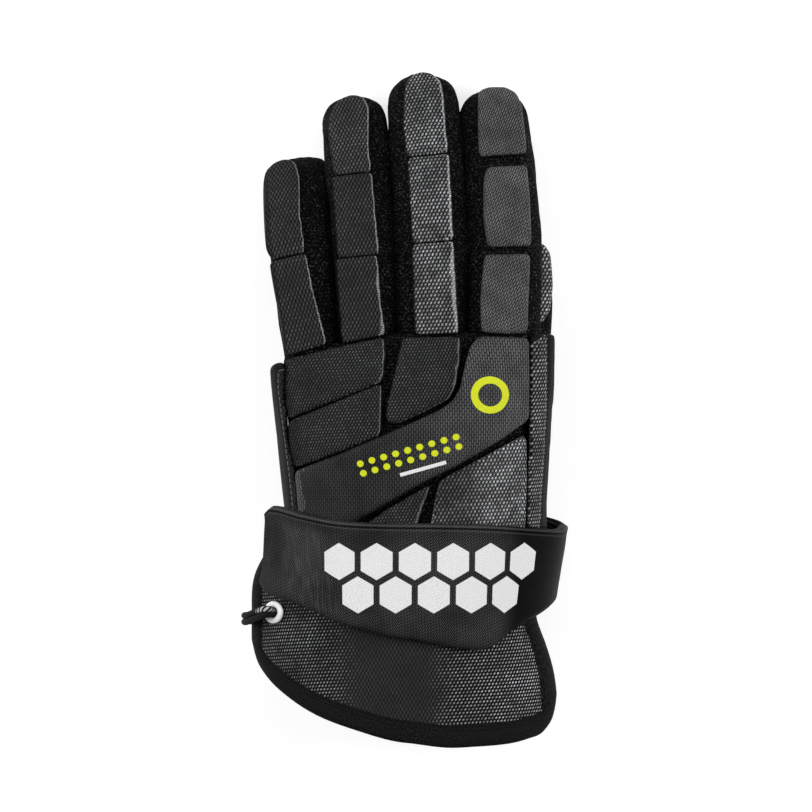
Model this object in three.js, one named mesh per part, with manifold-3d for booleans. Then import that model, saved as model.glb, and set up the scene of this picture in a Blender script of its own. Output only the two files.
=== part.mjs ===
// Lacrosse glove for the left hand, lying on its palm with the back of the hand up.
// Millimetres. +X points to the thumb's side, +Y to the fingertips, +Z up from the surface.
import * as THREE from 'three';
import { mergeVertices } from 'three/addons/utils/BufferGeometryUtils.js';
import Module from 'manifold-3d';

const wasm = await Module();
wasm.setup();

// Overall sizes
const gloveLength = 300;
const handWidth = 126;
const handHeight = 62;

// Walls and thicknesses
const shellWall = 2.5;
const stallWall = 2;
const palmWall = 1.6;
const cuffWall = 3;
const bindingWall = 4.2;
const strapWall = 4.5;
const fingerPadThickness = 6;
const thumbPadThickness = 4.5;
const backPadThickness = 6;
const diagonalPadThickness = 7.5;
const sidePanelThickness = 7.5;

// Small parts
const bindingWidth = 8.5;
const eyeletDiameter = 12.5;
const eyeletHole = 5.6;
const eyeletFlange = 1.5;
const laceDiameter = 3;
const padCorner = 1.4;
const palmCorner = 6;
const heelDrop = 2 * strapWall;
const seatGap = 0.3;
const cutReach = 10;

// How far down the pads reach, as shares: of a stall's half height below its centre line, and of
// the hand's height above its underside
const fingerPadFoot = 0.25;
const backPadFoot = 0.5;
const pinkyPanelFoot = 0.25;
const thumbPanelFoot = 0.45;

// Counts of facets
const stallSides = 16;
const shellSides = 32;
const archColumns = 28;
const archRows = 5;
const strapColumns = 32;
const strapRows = 4;
const eyeletSides = 16;
const laceSides = 8;
const laceSteps = 22;

// How square the oval sections are: 2 is an ellipse
const squareness = 2.5;

// Finger stalls. Places across are hundredths of the hand's width, along of the glove's length,
// heights of the hand's height; half widths of the hand's width, half heights of its height.
const fingers = {
  pinky: {
    base: { across: -32.6, along: 9.0, height: 66 },
    middle: { across: -36.9, along: 23.5, height: 60 },
    tip: { across: -38.6, along: 36.5, height: 9 },
    halfWidth: { base: 9.2, tip: 10.9 },
    halfHeight: { base: 21, tip: 17 },
  },
  ring: {
    base: { across: -14.0, along: 10.0, height: 68 },
    middle: { across: -14.9, along: 25.0, height: 62 },
    tip: { across: -18.8, along: 46.0, height: 10.5 },
    halfWidth: { base: 9.2, tip: 11.1 },
    halfHeight: { base: 21, tip: 18 },
  },
  middle: {
    base: { across: 8.8, along: 10.6, height: 69 },
    middle: { across: 8.6, along: 26.0, height: 63 },
    tip: { across: 5.6, along: 49.4, height: 10.5 },
    halfWidth: { base: 12.0, tip: 11.9 },
    halfHeight: { base: 21, tip: 18 },
  },
  index: {
    base: { across: 34.0, along: 10.8, height: 68 },
    middle: { across: 34.5, along: 25.0, height: 62 },
    tip: { across: 30.0, along: 47.0, height: 10.5 },
    halfWidth: { base: 12.4, tip: 11.6 },
    halfHeight: { base: 21, tip: 18 },
  },
  thumb: {
    base: { across: 33.0, along: -7.0, height: 27 },
    middle: { across: 41.0, along: 8.0, height: 19 },
    tip: { across: 42.3, along: 23.8, height: 18 },
    halfWidth: { base: 8.4, tip: 8.4 },
    halfHeight: { base: 16, tip: 15 },
  },
};

// Sections of the hand's shell from the wrist to the knuckles, in the same hundredths
const handSections = [
  { along: -25.5, across: 2.8, halfWidth: 38.0, top: 92 },
  { along: -19.5, across: 3.0, halfWidth: 39.2, top: 94 },
  { along: -14.0, across: 3.2, halfWidth: 40.4, top: 97 },
  { along: -3.3, across: 2.8, halfWidth: 42.2, top: 99 },
  { along: 3.5, across: 2.4, halfWidth: 43.6, top: 98 },
  { along: 10.6, across: 2.2, halfWidth: 44.0, top: 92 },
];

// Underside of the hand: over the strap, flat on the heel of the palm, arched at the knuckles
const heelStartShare = -15.0;
const heelEndShare = -3.3;
const archStart = { along: 3.5, height: 17 };
const archEnd = { along: 10.6, height: 43 };

// The line over the knuckles where the fingers meet the hand
const knuckleLine = [
  { across: -60, along: 5.8 },
  { across: -45, along: 7.1 },
  { across: -8, along: 10.6 },
  { across: 60, along: 10.9 },
];

// Sections of the cuff from its neck to its rim: edges seen from above, and its top
const cuffSections = [
  { along: -19.4, left: -46.5, right: 45.5, top: 105 },
  { along: -24.3, left: -53.0, right: 45.4, top: 109 },
  { along: -31.4, left: -54.4, right: 46.3, top: 113 },
  { along: -35.1, left: -54.4, right: 49.5, top: 116 },
  { along: -38.5, left: -54.2, right: 51.9, top: 119 },
  { along: -42.5, left: -54.0, right: 53.3, top: 122 },
  { along: -50.0, left: -53.8, right: 53.4, top: 128 },
];
const cuffSpringingShare = 23;
const cuffRightTurn = 20;
const cuffLeftTurn = 168;

// The cuff's rim seen from above, by how far round the arch it lies from the thumb's side
const cuffRim = [
  { turn: 20, along: -42.0 },
  { turn: 25, along: -45.3 },
  { turn: 32, along: -47.5 },
  { turn: 45, along: -48.9 },
  { turn: 70, along: -49.9 },
  { turn: 80, along: -50.0 },
  { turn: 90, along: -49.3 },
  { turn: 103, along: -47.6 },
  { turn: 120, along: -45.3 },
  { turn: 136, along: -42.5 },
  { turn: 150, along: -39.8 },
  { turn: 160, along: -37.3 },
  { turn: 168, along: -34.0 },
];

// The strap's two edges, from its sewn end on the outer side, over the wrist and under the palm
const strapEdges = [
  { turn: 148, front: -15.2, back: -26.2 },
  { turn: 145, front: -14.5, back: -27.2 },
  { turn: 141, front: -14.5, back: -27.6 },
  { turn: 126, front: -15.5, back: -28.9 },
  { turn: 109, front: -16.6, back: -31.6 },
  { turn: 96, front: -16.9, back: -33.2 },
  { turn: 82, front: -17.0, back: -34.8 },
  { turn: 64, front: -17.2, back: -35.4 },
  { turn: 50, front: -17.5, back: -32.9 },
  { turn: 34, front: -17.8, back: -31.1 },
  { turn: 16, front: -17.9, back: -29.6 },
  { turn: 0, front: -18.0, back: -28.7 },
  { turn: -110, front: -18.0, back: -28.7 },
];

// How far the strap's inner face reaches to either side
const strapSections = [
  { along: -14.5, left: 53.0, right: 53.6 },
  { along: -19.0, left: 53.6, right: 53.4 },
  { along: -24.3, left: 54.5, right: 51.4 },
  { along: -28.7, left: 55.5, right: 49.8 },
  { along: -35.4, left: 56.0, right: 49.0 },
];

// Outlines of the pads seen from above: across and along, in the same hundredths
const padOutlines = {
  pinky_tip_pad: [
    [-50.2, 33.6], [-49.5, 35.2], [-46.3, 36.5], [-42.4, 37.0], [-39.2, 36.4], [-37.8, 34.4],
    [-37.4, 28.7], [-35.7, 23.2], [-47.0, 22.0], [-49.1, 23.5],
  ],
  pinky_base_pad: [
    [-47.9, 21.5], [-35.3, 22.8], [-32.1, 16.2], [-27.9, 9.7], [-42.4, 7.8], [-43.8, 12.8],
  ],
  ring_tip_pad: [
    [-27.2, 41.3], [-26.5, 44.2], [-23.3, 45.9], [-19.1, 46.6], [-15.2, 46.2], [-13.1, 44.5],
    [-13.4, 39.0], [-12.4, 35.2], [-25.4, 34.6],
  ],
  ring_middle_pad: [
    [-25.9, 34.2], [-12.1, 34.8], [-10.6, 27.6], [-9.5, 22.9], [-24.0, 22.3], [-25.1, 28.7],
  ],
  ring_base_pad: [
    [-24.9, 21.9], [-10.2, 22.5], [-8.8, 15.3], [-7.4, 11.0], [-22.3, 9.7], [-24.0, 17.5],
  ],
  middle_tip_pad: [
    [-0.4, 45.7], [0.0, 48.1], [2.1, 49.4], [5.3, 50.0], [9.2, 49.7], [12.4, 48.4],
    [13.4, 45.7], [13.8, 42.0], [14.8, 38.0], [0.4, 37.4], [-0.7, 42.0],
  ],
  middle_middle_pad: [
    [0.8, 37.0], [15.1, 37.6], [16.6, 25.0], [2.5, 24.5],
  ],
  middle_base_pad: [
    [2.4, 24.1], [16.6, 24.6], [18.4, 11.2], [3.5, 11.0],
  ],
  index_tip_pad: [
    [25.8, 45.7], [26.1, 47.2], [29.7, 47.7], [35.0, 47.7], [38.9, 46.9], [40.6, 45.1],
    [41.7, 41.3], [42.4, 37.9], [26.1, 37.4], [25.8, 42.0],
  ],
  index_middle_pad: [
    [28.6, 35.6], [42.4, 35.9], [43.4, 30.9], [43.8, 24.1], [29.0, 23.9], [27.6, 27.9],
    [27.6, 33.1],
  ],
  index_base_pad: [
    [27.9, 22.6], [43.4, 22.7], [42.7, 16.1], [42.4, 11.2], [35.0, 11.1], [26.8, 11.3],
    [26.5, 16.1],
  ],
  thumb_pad: [
    [42.7, 23.9], [48.4, 24.6], [51.0, 23.0], [51.8, 18.3], [50.8, 14.6], [47.7, 12.6],
    [42.7, 12.2],
  ],
  outer_back_pad_upper: [
    [-42.2, 7.2], [-7.8, 10.4], [-7.4, 7.9], [-8.5, 4.0], [-30.4, 0.3], [-41.7, -1.6],
    [-42.4, 2.7],
  ],
  outer_back_pad_lower: [
    [-41.4, -2.0], [-30.1, -0.1], [-8.5, 3.6], [-9.2, -3.9], [-23.3, -6.4], [-39.2, -8.9],
    [-41.0, -5.5],
  ],
  centre_back_pad: [
    [-1.1, 10.3], [19.1, 10.4], [18.7, 6.9], [17.3, 3.1], [14.8, 1.4], [4.9, -0.7],
    [-4.2, -2.4], [-7.2, -1.5], [-6.2, 0.9], [-3.5, 5.7],
  ],
  diagonal_back_pad: [
    [-38.9, -9.3], [-23.3, -6.8], [-2.1, -3.0], [12.0, -0.3], [16.4, 1.0], [19.1, 2.9],
    [20.9, 6.4], [22.6, 9.0], [25.4, 10.5], [43.1, 10.3], [43.1, -1.6], [33.2, -4.6],
    [19.1, -8.1], [4.9, -11.1], [-9.2, -14.6], [-20.5, -17.4], [-37.2, -16.9],
  ],
  lower_back_pad_right: [
    [12.4, -10.6], [24.4, -7.9], [42.0, -3.9], [42.4, -10.6], [41.7, -18.4], [8.5, -18.4],
    [10.6, -13.2],
  ],
  lower_back_pad_left: [
    [8.5, -11.3], [2.8, -18.4], [-17.5, -18.2], [-5.7, -14.7],
  ],
  pinky_side_panel: [
    [-42.6, 6.8], [-45.6, 6.7], [-47.7, 5.8], [-47.7, 2.7], [-45.9, -3.2], [-43.4, -11.4],
    [-41.7, -18.6], [-37.4, -18.6], [-39.2, -9.9], [-39.6, -9.0], [-41.5, -5.5], [-42.1, -1.8],
    [-42.8, 2.5],
  ],
  thumb_side_panel: [
    [44.2, 10.6], [47.7, 11.7], [50.5, 11.8], [51.9, 10.7], [51.9, 1.2], [51.2, -6.2],
    [50.2, -12.1], [49.4, -18.6], [43.2, -18.6], [44.0, -3.2],
  ],
};

// The palm's outline seen from above, and how far it rises at its sides
const palmOutline = [
  [-25, -15.0], [30, -15.0], [33, -4.0], [30, 9.5], [0, 9.5], [-26, 8.0], [-28, -4.0],
];
const palmRiseShare = 14;

// Which stall carries which pad
const padCarriers = {
  pinky_tip_pad: 'pinky',
  pinky_base_pad: 'pinky',
  ring_tip_pad: 'ring',
  ring_middle_pad: 'ring',
  ring_base_pad: 'ring',
  middle_tip_pad: 'middle',
  middle_middle_pad: 'middle',
  middle_base_pad: 'middle',
  index_tip_pad: 'index',
  index_middle_pad: 'index',
  index_base_pad: 'index',
  thumb_pad: 'thumb',
};

// Plan places and heights from hundredths
const across = (share) => share / 100 * handWidth;
const along = (share) => share / 100 * gloveLength;
const upward = (share) => share / 100 * handHeight;
const radians = THREE.MathUtils.degToRad;

// Value of one column of a table between its rows
function between(rows, key, at, column) {
  const rising = rows[rows.length - 1][key] > rows[0][key] ? rows : [...rows].reverse();
  const last = rising.length - 1;
  let next = rising.findIndex((row) => row[key] >= at);
  if (next < 0) {
    next = last;
  }
  next = Math.max(next, 1);
  const low = rising[next - 1];
  const high = rising[next];
  const share = THREE.MathUtils.clamp((at - low[key]) / (high[key] - low[key]), 0, 1);
  return low[column] + (high[column] - low[column]) * share;
}

// Oval of one unit: the point at a turn round it
function ovalPoint(turn) {
  const side = Math.cos(turn);
  const rise = Math.sin(turn);
  const power = 2 / squareness;
  return {
    side: Math.sign(side) * Math.abs(side) ** power,
    rise: Math.sign(rise) * Math.abs(rise) ** power,
  };
}

// Skin over rings of points: closed into a loop, or ended by flat caps or tips
function skin(rings, ends) {
  const count = rings[0].length;
  const positions = rings.flat().flatMap((point) => [point.x, point.y, point.z]);
  const faces = [];
  const joins = ends === 'loop' ? rings.length : rings.length - 1;
  for (let i = 0; i < joins; i++) {
    const here = i * count;
    const there = ((i + 1) % rings.length) * count;
    for (let j = 0; j < count; j++) {
      const next = (j + 1) % count;
      faces.push(here + j, here + next, there + next, here + j, there + next, there + j);
    }
  }
  const lastRing = (rings.length - 1) * count;
  if (ends === 'flat') {
    for (let j = 0; j < count / 2 - 1; j++) {
      const far = count - 1 - j;
      faces.push(j, far, far - 1, j, far - 1, j + 1);
      faces.push(lastRing + j, lastRing + j + 1, lastRing + far - 1);
      faces.push(lastRing + j, lastRing + far - 1, lastRing + far);
    }
  }
  if (Array.isArray(ends)) {
    ends.forEach((tip, end) => {
      const tipIndex = positions.length / 3;
      positions.push(tip.x, tip.y, tip.z);
      const ring = end === 0 ? 0 : lastRing;
      for (let j = 0; j < count; j++) {
        const next = (j + 1) % count;
        const pair = end === 0 ? [next, j] : [j, next];
        faces.push(ring + pair[0], ring + pair[1], tipIndex);
      }
    });
  }
  return facingOut(positions, faces);
}

// Geometry whose faces point out of the body
function facingOut(positions, faces) {
  const point = (index) => new THREE.Vector3().fromArray(positions, index * 3);
  let volume = 0;
  for (let i = 0; i < faces.length; i += 3) {
    volume += point(faces[i]).dot(point(faces[i + 1]).cross(point(faces[i + 2])));
  }
  if (volume < 0) {
    faces.reverse();
  }
  const geometry = new THREE.BufferGeometry();
  geometry.setAttribute('position', new THREE.Float32BufferAttribute(positions, 3));
  geometry.setIndex(faces);
  return geometry;
}

function toSolid(geometry) {
  const bare = geometry.clone();
  bare.deleteAttribute('normal');
  bare.deleteAttribute('uv');
  const merged = mergeVertices(bare);
  return new wasm.Manifold(new wasm.Mesh({
    numProp: 3,
    vertProperties: merged.attributes.position.array,
    triVerts: new Uint32Array(merged.index.array),
  }));
}

function toGeometry(solid) {
  const mesh = solid.getMesh();
  const geometry = new THREE.BufferGeometry();
  geometry.setAttribute('position', new THREE.BufferAttribute(mesh.vertProperties, 3));
  geometry.setIndex(new THREE.BufferAttribute(mesh.triVerts, 1));
  return geometry;
}

// Outline with its corners rounded, as points in millimetres
function roundedOutline(outline, corner) {
  const corners = outline.map(([x, y]) => new THREE.Vector2(across(x), along(y)));
  return corners.flatMap((point, i) => {
    const before = corners[(i + corners.length - 1) % corners.length];
    const after = corners[(i + 1) % corners.length];
    const cut = Math.min(corner, point.distanceTo(before) / 3, point.distanceTo(after) / 3);
    const start = point.clone().lerp(before, cut / point.distanceTo(before));
    const end = point.clone().lerp(after, cut / point.distanceTo(after));
    const turn = Math.abs(start.clone().sub(point).cross(end.clone().sub(point))) / cut ** 2;
    const gentle = turn < 0.45;
    return gentle ? [point] : [start, start.clone().add(end).add(point).divideScalar(3), end];
  });
}

// Upright block over an outline, its foot and its head following two heights
function block(outline, footAt, headAt) {
  const points = THREE.ShapeUtils.isClockWise(outline) ? [...outline].reverse() : outline;
  const foot = points.map((point) => new THREE.Vector3(point.x, point.y, footAt(point)));
  const head = points.map((point) => new THREE.Vector3(point.x, point.y, headAt(point)));
  const count = points.length;
  const positions = [...foot, ...head].flatMap((point) => [point.x, point.y, point.z]);
  const faces = [];
  for (let j = 0; j < count; j++) {
    const next = (j + 1) % count;
    faces.push(j, next, count + next, j, count + next, count + j);
  }
  for (const [a, b, c] of THREE.ShapeUtils.triangulateShape(points, [])) {
    faces.push(a, c, b, count + a, count + b, count + c);
  }
  return toSolid(facingOut(positions, faces));
}

// Centre line of a stall
function stallLine(finger) {
  const places = [finger.base, finger.middle, finger.tip].map((place) => (
    new THREE.Vector3(across(place.across), along(place.along), upward(place.height))));
  return new THREE.CatmullRomCurve3(places, false, 'centripetal');
}

// Rings of a stall round its centre line, grown outwards or inwards, and its tip
function stallRings(finger, growth) {
  const line = stallLine(finger);
  const length = line.getLength();
  const halfWidth = (share) => across(THREE.MathUtils.lerp(
    finger.halfWidth.base, finger.halfWidth.tip, share)) + growth;
  const halfHeight = (share) => upward(THREE.MathUtils.lerp(
    finger.halfHeight.base, finger.halfHeight.tip, share)) + growth;
  const tipRound = halfWidth(1);
  const reach = length + growth;
  const body = [-0.09, 0.12, 0.3, 0.46, 0.62].map((share) => ({ at: share * length, scale: 1 }));
  const tipAngles = [0, 30, 55, 75].map(radians);
  const cap = tipAngles.map((angle) => ({
    at: reach - tipRound + tipRound * Math.sin(angle),
    scale: Math.cos(angle),
  }));
  const placeAt = (at) => {
    const share = THREE.MathUtils.clamp(at / length, 0, 1);
    const forward = line.getTangentAt(share);
    const centre = line.getPointAt(share).addScaledVector(forward, at - share * length);
    const right = forward.clone().cross(new THREE.Vector3(0, 0, 1)).normalize();
    return { centre, share, right, up: right.clone().cross(forward) };
  };
  const rings = [...body, ...cap].map(({ at, scale }) => {
    const place = placeAt(at);
    return Array.from({ length: stallSides }, (_, j) => {
      const oval = ovalPoint(2 * Math.PI * (j + 0.5) / stallSides);
      return place.centre.clone()
        .addScaledVector(place.right, oval.side * halfWidth(place.share) * scale)
        .addScaledVector(place.up, oval.rise * halfHeight(place.share) * scale);
    });
  });
  return { rings, start: placeAt(body[0].at).centre, tip: placeAt(reach).centre };
}

// A stall filled solid, to cut with
function stallSolid(finger, growth) {
  const { rings, start, tip } = stallRings(finger, growth);
  return toSolid(skin(rings, [start, tip]));
}

// Everything behind the knuckle line, to trim the fingers' stalls with
function handSide(clearance) {
  const line = knuckleLine.map((place) => (
    new THREE.Vector2(across(place.across), along(place.along) + clearance)));
  const behind = -gloveLength / 2;
  const outline = [
    new THREE.Vector2(line[0].x, behind),
    new THREE.Vector2(line[line.length - 1].x, behind),
    ...line.reverse(),
  ];
  return block(outline, () => -handHeight, () => 2 * handHeight);
}

// A stall: a closed-tip sleeve with its mouth at the hand
function stallGeometry(finger) {
  const { rings, tip } = stallRings(finger, 0);
  const inner = stallRings(finger, -stallWall);
  return skin([...inner.rings.reverse(), ...rings], [inner.tip, tip]);
}

// Height of the hand's underside
function undersideAt(y) {
  const overStrap = strapWall + seatGap;
  const onPalm = palmWall + seatGap;
  const rows = [
    { along: along(heelStartShare) - heelDrop, height: overStrap },
    { along: along(heelStartShare), height: onPalm },
    { along: along(heelEndShare), height: onPalm },
    { along: along(archStart.along), height: upward(archStart.height) },
    { along: along(archEnd.along), height: upward(archEnd.height) },
  ];
  return between(rows, 'along', y, 'height');
}

// The y of the knuckle line at one x
function knuckleAt(x) {
  return along(between(knuckleLine, 'across', x / handWidth * 100, 'along'));
}

// Rings of the hand's shell, grown outwards or inwards
function handRings(growth) {
  const last = handSections.length - 1;
  const dropShare = heelStartShare - heelDrop / gloveLength * 100;
  const atWrist = handSections.findIndex((section) => section.along > dropShare);
  const sections = [...handSections];
  sections.splice(atWrist, 0, { ...handSections[atWrist], along: dropShare });
  return sections.map((section, i) => {
    const atFront = i === sections.length - 1;
    const y = along(section.along);
    const bottom = undersideAt(y) - growth;
    const top = upward(section.top) + growth;
    const halfHeight = (top - bottom) / 2;
    const centre = across(section.across);
    return Array.from({ length: shellSides }, (_, j) => {
      const oval = ovalPoint(2 * Math.PI * (j + 0.5) / shellSides);
      const x = centre + oval.side * (across(section.halfWidth) + growth);
      const slant = (knuckleAt(x) - along(handSections[last].along)) * (atFront ? 1 : 0);
      const z = bottom + halfHeight + oval.rise * halfHeight;
      return new THREE.Vector3(x, y + slant, z);
    });
  });
}

// The hand's shell filled solid; to cut with, it reaches past both of its ends
function handSolid(growth, reach = 0) {
  const rings = handRings(growth);
  const moved = (ring, y) => ring.map((point) => new THREE.Vector3(point.x, point.y + y, point.z));
  if (reach > 0) {
    rings.unshift(moved(rings[0], -reach));
    rings.push(moved(rings[rings.length - 1], reach));
  }
  return toSolid(skin(rings, 'flat'));
}

// The hand's shell, with a way through to the thumb
function handShell() {
  const sleeve = toSolid(skin([...handRings(0), ...handRings(-shellWall).reverse()], 'loop'));
  return toGeometry(sleeve.subtract(stallSolid(fingers.thumb, seatGap)));
}

// A finger's stall, trimmed at the hand
function fingerStall(finger) {
  return toGeometry(toSolid(stallGeometry(finger)).subtract(handSide(seatGap)));
}

// A pad over a stall
function fingerPad(name) {
  const finger = fingers[padCarriers[name]];
  const onThumb = padCarriers[name] === 'thumb';
  const thickness = onThumb ? thumbPadThickness : fingerPadThickness;
  const line = stallLine(finger).getSpacedPoints(stallSides);
  const rows = line.map((point) => ({ along: point.y, height: point.z }));
  const footDrop = upward(finger.halfHeight.tip) * fingerPadFoot;
  const footAt = (point) => between(rows, 'along', point.y, 'height') - footDrop;
  const points = roundedOutline(padOutlines[name], padCorner);
  let pad = block(points, footAt, () => 2 * handHeight)
    .intersect(stallSolid(finger, thickness))
    .subtract(stallSolid(finger, seatGap));
  if (onThumb) {
    pad = pad.subtract(stallSolid(fingers.index, seatGap));
  }
  return toGeometry(pad);
}

// A pad or panel over the hand's shell, reaching down to a share of the way to its underside
function handPad(name, thickness, footShare) {
  const points = roundedOutline(padOutlines[name], padCorner);
  const footAt = (point) => THREE.MathUtils.lerp(undersideAt(point.y), handHeight, footShare);
  const pad = block(points, footAt, () => 2 * handHeight)
    .intersect(handSolid(thickness))
    .subtract(handSolid(seatGap, cutReach));
  return toGeometry(pad
    .subtract(stallSolid(fingers.index, seatGap))
    .subtract(stallSolid(fingers.thumb, seatGap))
    .subtract(strapSolid(seatGap)));
}

// The palm: a leather panel under the shell
function palmPanel() {
  const headAt = (point) => undersideAt(point.y) + upward(palmRiseShare);
  const panel = block(roundedOutline(palmOutline, palmCorner), () => -handHeight, headAt)
    .intersect(handSolid(palmWall + seatGap))
    .subtract(handSolid(seatGap, cutReach))
    .subtract(stallSolid(fingers.thumb, seatGap));
  return toGeometry(panel);
}

// Point on an oval round the wrist, grown outwards
function wristPoint(turn, y, halfWidth, top, bottom, growth) {
  const oval = ovalPoint(radians(turn));
  const springing = upward(cuffSpringingShare);
  const rise = oval.rise > 0 ? top + growth - springing : springing - bottom + growth;
  return new THREE.Vector3(oval.side * (halfWidth + growth), y, springing + oval.rise * rise);
}

// Half width of the cuff's whole oval: its edge seen from above lies at a turn of its own
function cuffHalfWidth(y, side) {
  const edgeTurn = side === 'left' ? cuffLeftTurn : cuffRightTurn;
  const edge = Math.abs(across(between(cuffSections, 'along', y / gloveLength * 100, side)));
  return edge / Math.abs(ovalPoint(radians(edgeTurn)).side);
}

const sideOf = (turn) => (Math.abs(turn) > 90 ? 'left' : 'right');
const cuffTop = (y) => upward(between(cuffSections, 'along', y / gloveLength * 100, 'top'));
const bindingProud = (bindingWall - cuffWall) / 2;

function cuffPoint(turn, y, growth) {
  return wristPoint(turn, y, cuffHalfWidth(y, sideOf(turn)), cuffTop(y), 0, growth);
}

// Point on the strap's inner face: clear of the cuff and of the pads on the hand
function strapPoint(turn, y, growth) {
  const at = y / gloveLength * 100;
  const clear = bindingProud + seatGap;
  const side = sideOf(turn);
  const halfWidth = Math.max(across(between(strapSections, 'along', at, side)),
    cuffHalfWidth(y, side) + clear);
  const padTop = upward(between(handSections, 'along', at, 'top')) + diagonalPadThickness;
  const top = Math.max(cuffTop(y) + clear, padTop + seatGap);
  return wristPoint(turn, y, halfWidth, top, strapWall, growth);
}

function rimAt(turn) {
  return along(between(cuffRim, 'turn', turn, 'along'));
}

// How many degrees round the arch the binding covers
const bindingTurn = THREE.MathUtils.radToDeg(bindingWidth / upward(100));
const flareGapTurn = THREE.MathUtils.radToDeg(seatGap / upward(60));

// Band between a front and a back edge, with an outer and an inner face
function band(turns, frontAt, backAt, pointAt, outerGrowth, innerGrowth, rows) {
  const sections = turns.map((turn) => {
    const shares = Array.from({ length: rows + 1 }, (_, i) => i / rows);
    const ys = shares.map((share) => THREE.MathUtils.lerp(frontAt(turn), backAt(turn), share));
    const outer = ys.map((y) => pointAt(turn, y, outerGrowth));
    const inner = ys.map((y) => pointAt(turn, y, innerGrowth)).reverse();
    return [...outer, ...inner];
  });
  return skin(sections, 'flat');
}

function evenly(from, to, count) {
  return Array.from({ length: count + 1 }, (_, i) => from + (to - from) * i / count);
}

// The eyelet's place on the cuff and the way it faces
function eyeletSeat() {
  const turn = 142.4;
  const y = along(-30.2);
  const step = 1;
  const centre = cuffPoint(turn, y, 0);
  const round = cuffPoint(turn - step, y, 0).sub(cuffPoint(turn + step, y, 0));
  const lengthwise = cuffPoint(turn, y + step, 0).sub(cuffPoint(turn, y - step, 0));
  return { centre, normal: round.cross(lengthwise).normalize() };
}

// The cuff: an open arch with a hole for its eyelet
function cuffFlare() {
  const neck = along(cuffSections[0].along);
  const right = cuffRightTurn + bindingTurn + flareGapTurn;
  const left = cuffLeftTurn - bindingTurn - flareGapTurn;
  const arch = band(evenly(right, left, archColumns), () => neck,
    (turn) => rimAt(turn) + bindingWidth + seatGap, cuffPoint, 0, -cuffWall, archRows);
  const seat = eyeletSeat();
  const radius = eyeletHole / 2 + eyeletFlange / 2 + seatGap;
  const drill = new THREE.CylinderGeometry(radius, radius, 6 * cuffWall, eyeletSides);
  drill.applyQuaternion(facing(seat.normal));
  drill.translate(...seat.centre);
  return toGeometry(toSolid(arch).subtract(toSolid(drill)).subtract(handSolid(seatGap, cutReach)));
}

// The binding: a thicker edge round three sides of the cuff
function cuffBinding() {
  const neck = along(cuffSections[0].along);
  const proud = bindingProud;
  const rightIn = cuffRightTurn + bindingTurn;
  const leftIn = cuffLeftTurn - bindingTurn;
  const pairs = [];
  const addSide = (edge, inset) => {
    const from = rimAt(inset) + bindingWidth;
    const to = neck;
    return evenly(0, 1, 5).map((share) => {
      const inside = THREE.MathUtils.lerp(from, to, share);
      const outside = share === 0 ? rimAt(edge) : inside;
      return { edge: [edge, outside], inset: [inset, inside] };
    });
  };
  pairs.push(...addSide(cuffRightTurn, rightIn).reverse());
  evenly(rightIn, leftIn, archColumns).slice(1, -1).forEach((turn) => {
    pairs.push({ edge: [turn, rimAt(turn)], inset: [turn, rimAt(turn) + bindingWidth] });
  });
  pairs.push(...addSide(cuffLeftTurn, leftIn));
  const sections = pairs.map(({ edge, inset }) => [
    cuffPoint(edge[0], edge[1], proud),
    cuffPoint(inset[0], inset[1], proud),
    cuffPoint(inset[0], inset[1], -cuffWall - proud),
    cuffPoint(edge[0], edge[1], -cuffWall - proud),
  ]);
  return toGeometry(toSolid(skin(sections, 'flat')).subtract(handSolid(seatGap, cutReach)));
}

// The strap's band, grown on all sides
function strapSolid(growth) {
  const first = strapEdges[0].turn;
  const last = strapEdges[strapEdges.length - 1].turn;
  const frontAt = (turn) => along(between(strapEdges, 'turn', turn, 'front')) + growth;
  const backAt = (turn) => along(between(strapEdges, 'turn', turn, 'back')) - growth;
  const turns = evenly(first, last, strapColumns);
  return toSolid(band(turns, frontAt, backAt, strapPoint, strapWall + growth, -growth, strapRows));
}

// The arch of the cuff and its binding as one wall, grown on both faces
function archSolid(growth) {
  const neck = along(cuffSections[0].along) + growth;
  const proud = bindingProud + growth;
  const turns = evenly(cuffRightTurn - 1, cuffLeftTurn + 1, archColumns);
  return toSolid(band(turns, () => neck, (turn) => rimAt(turn) - growth, cuffPoint, proud,
    -cuffWall - proud, archRows));
}

// The wrist strap: sewn on at the outer side, over the wrist and round under the palm
function wristStrap() {
  return toGeometry(strapSolid(0).subtract(archSolid(seatGap)));
}

// Turn from the geometry's own axis to a direction
function facing(direction) {
  return new THREE.Quaternion().setFromUnitVectors(new THREE.Vector3(0, 1, 0), direction);
}

// The eyelet: a flanged ring through the cuff
function cuffEyelet() {
  const hole = eyeletHole / 2;
  const rim = eyeletDiameter / 2;
  const barrel = hole + eyeletFlange / 2;
  const depth = cuffWall + eyeletFlange / 2;
  const profile = [
    [hole, -depth], [barrel, -depth], [barrel, seatGap], [rim, seatGap],
    [rim, seatGap + eyeletFlange * 0.45], [(rim + hole) / 2, seatGap + eyeletFlange],
    [hole + eyeletFlange * 0.3, seatGap + eyeletFlange * 0.8], [hole, seatGap],
    [hole, -depth],
  ];
  const ring = new THREE.LatheGeometry(profile.map(([x, y]) => new THREE.Vector2(x, y)), eyeletSides);
  const solid = toSolid(ring);
  return toGeometry(solid.volume() < 0 ? solid.mirror([1, 0, 0]) : solid);
}

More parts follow.
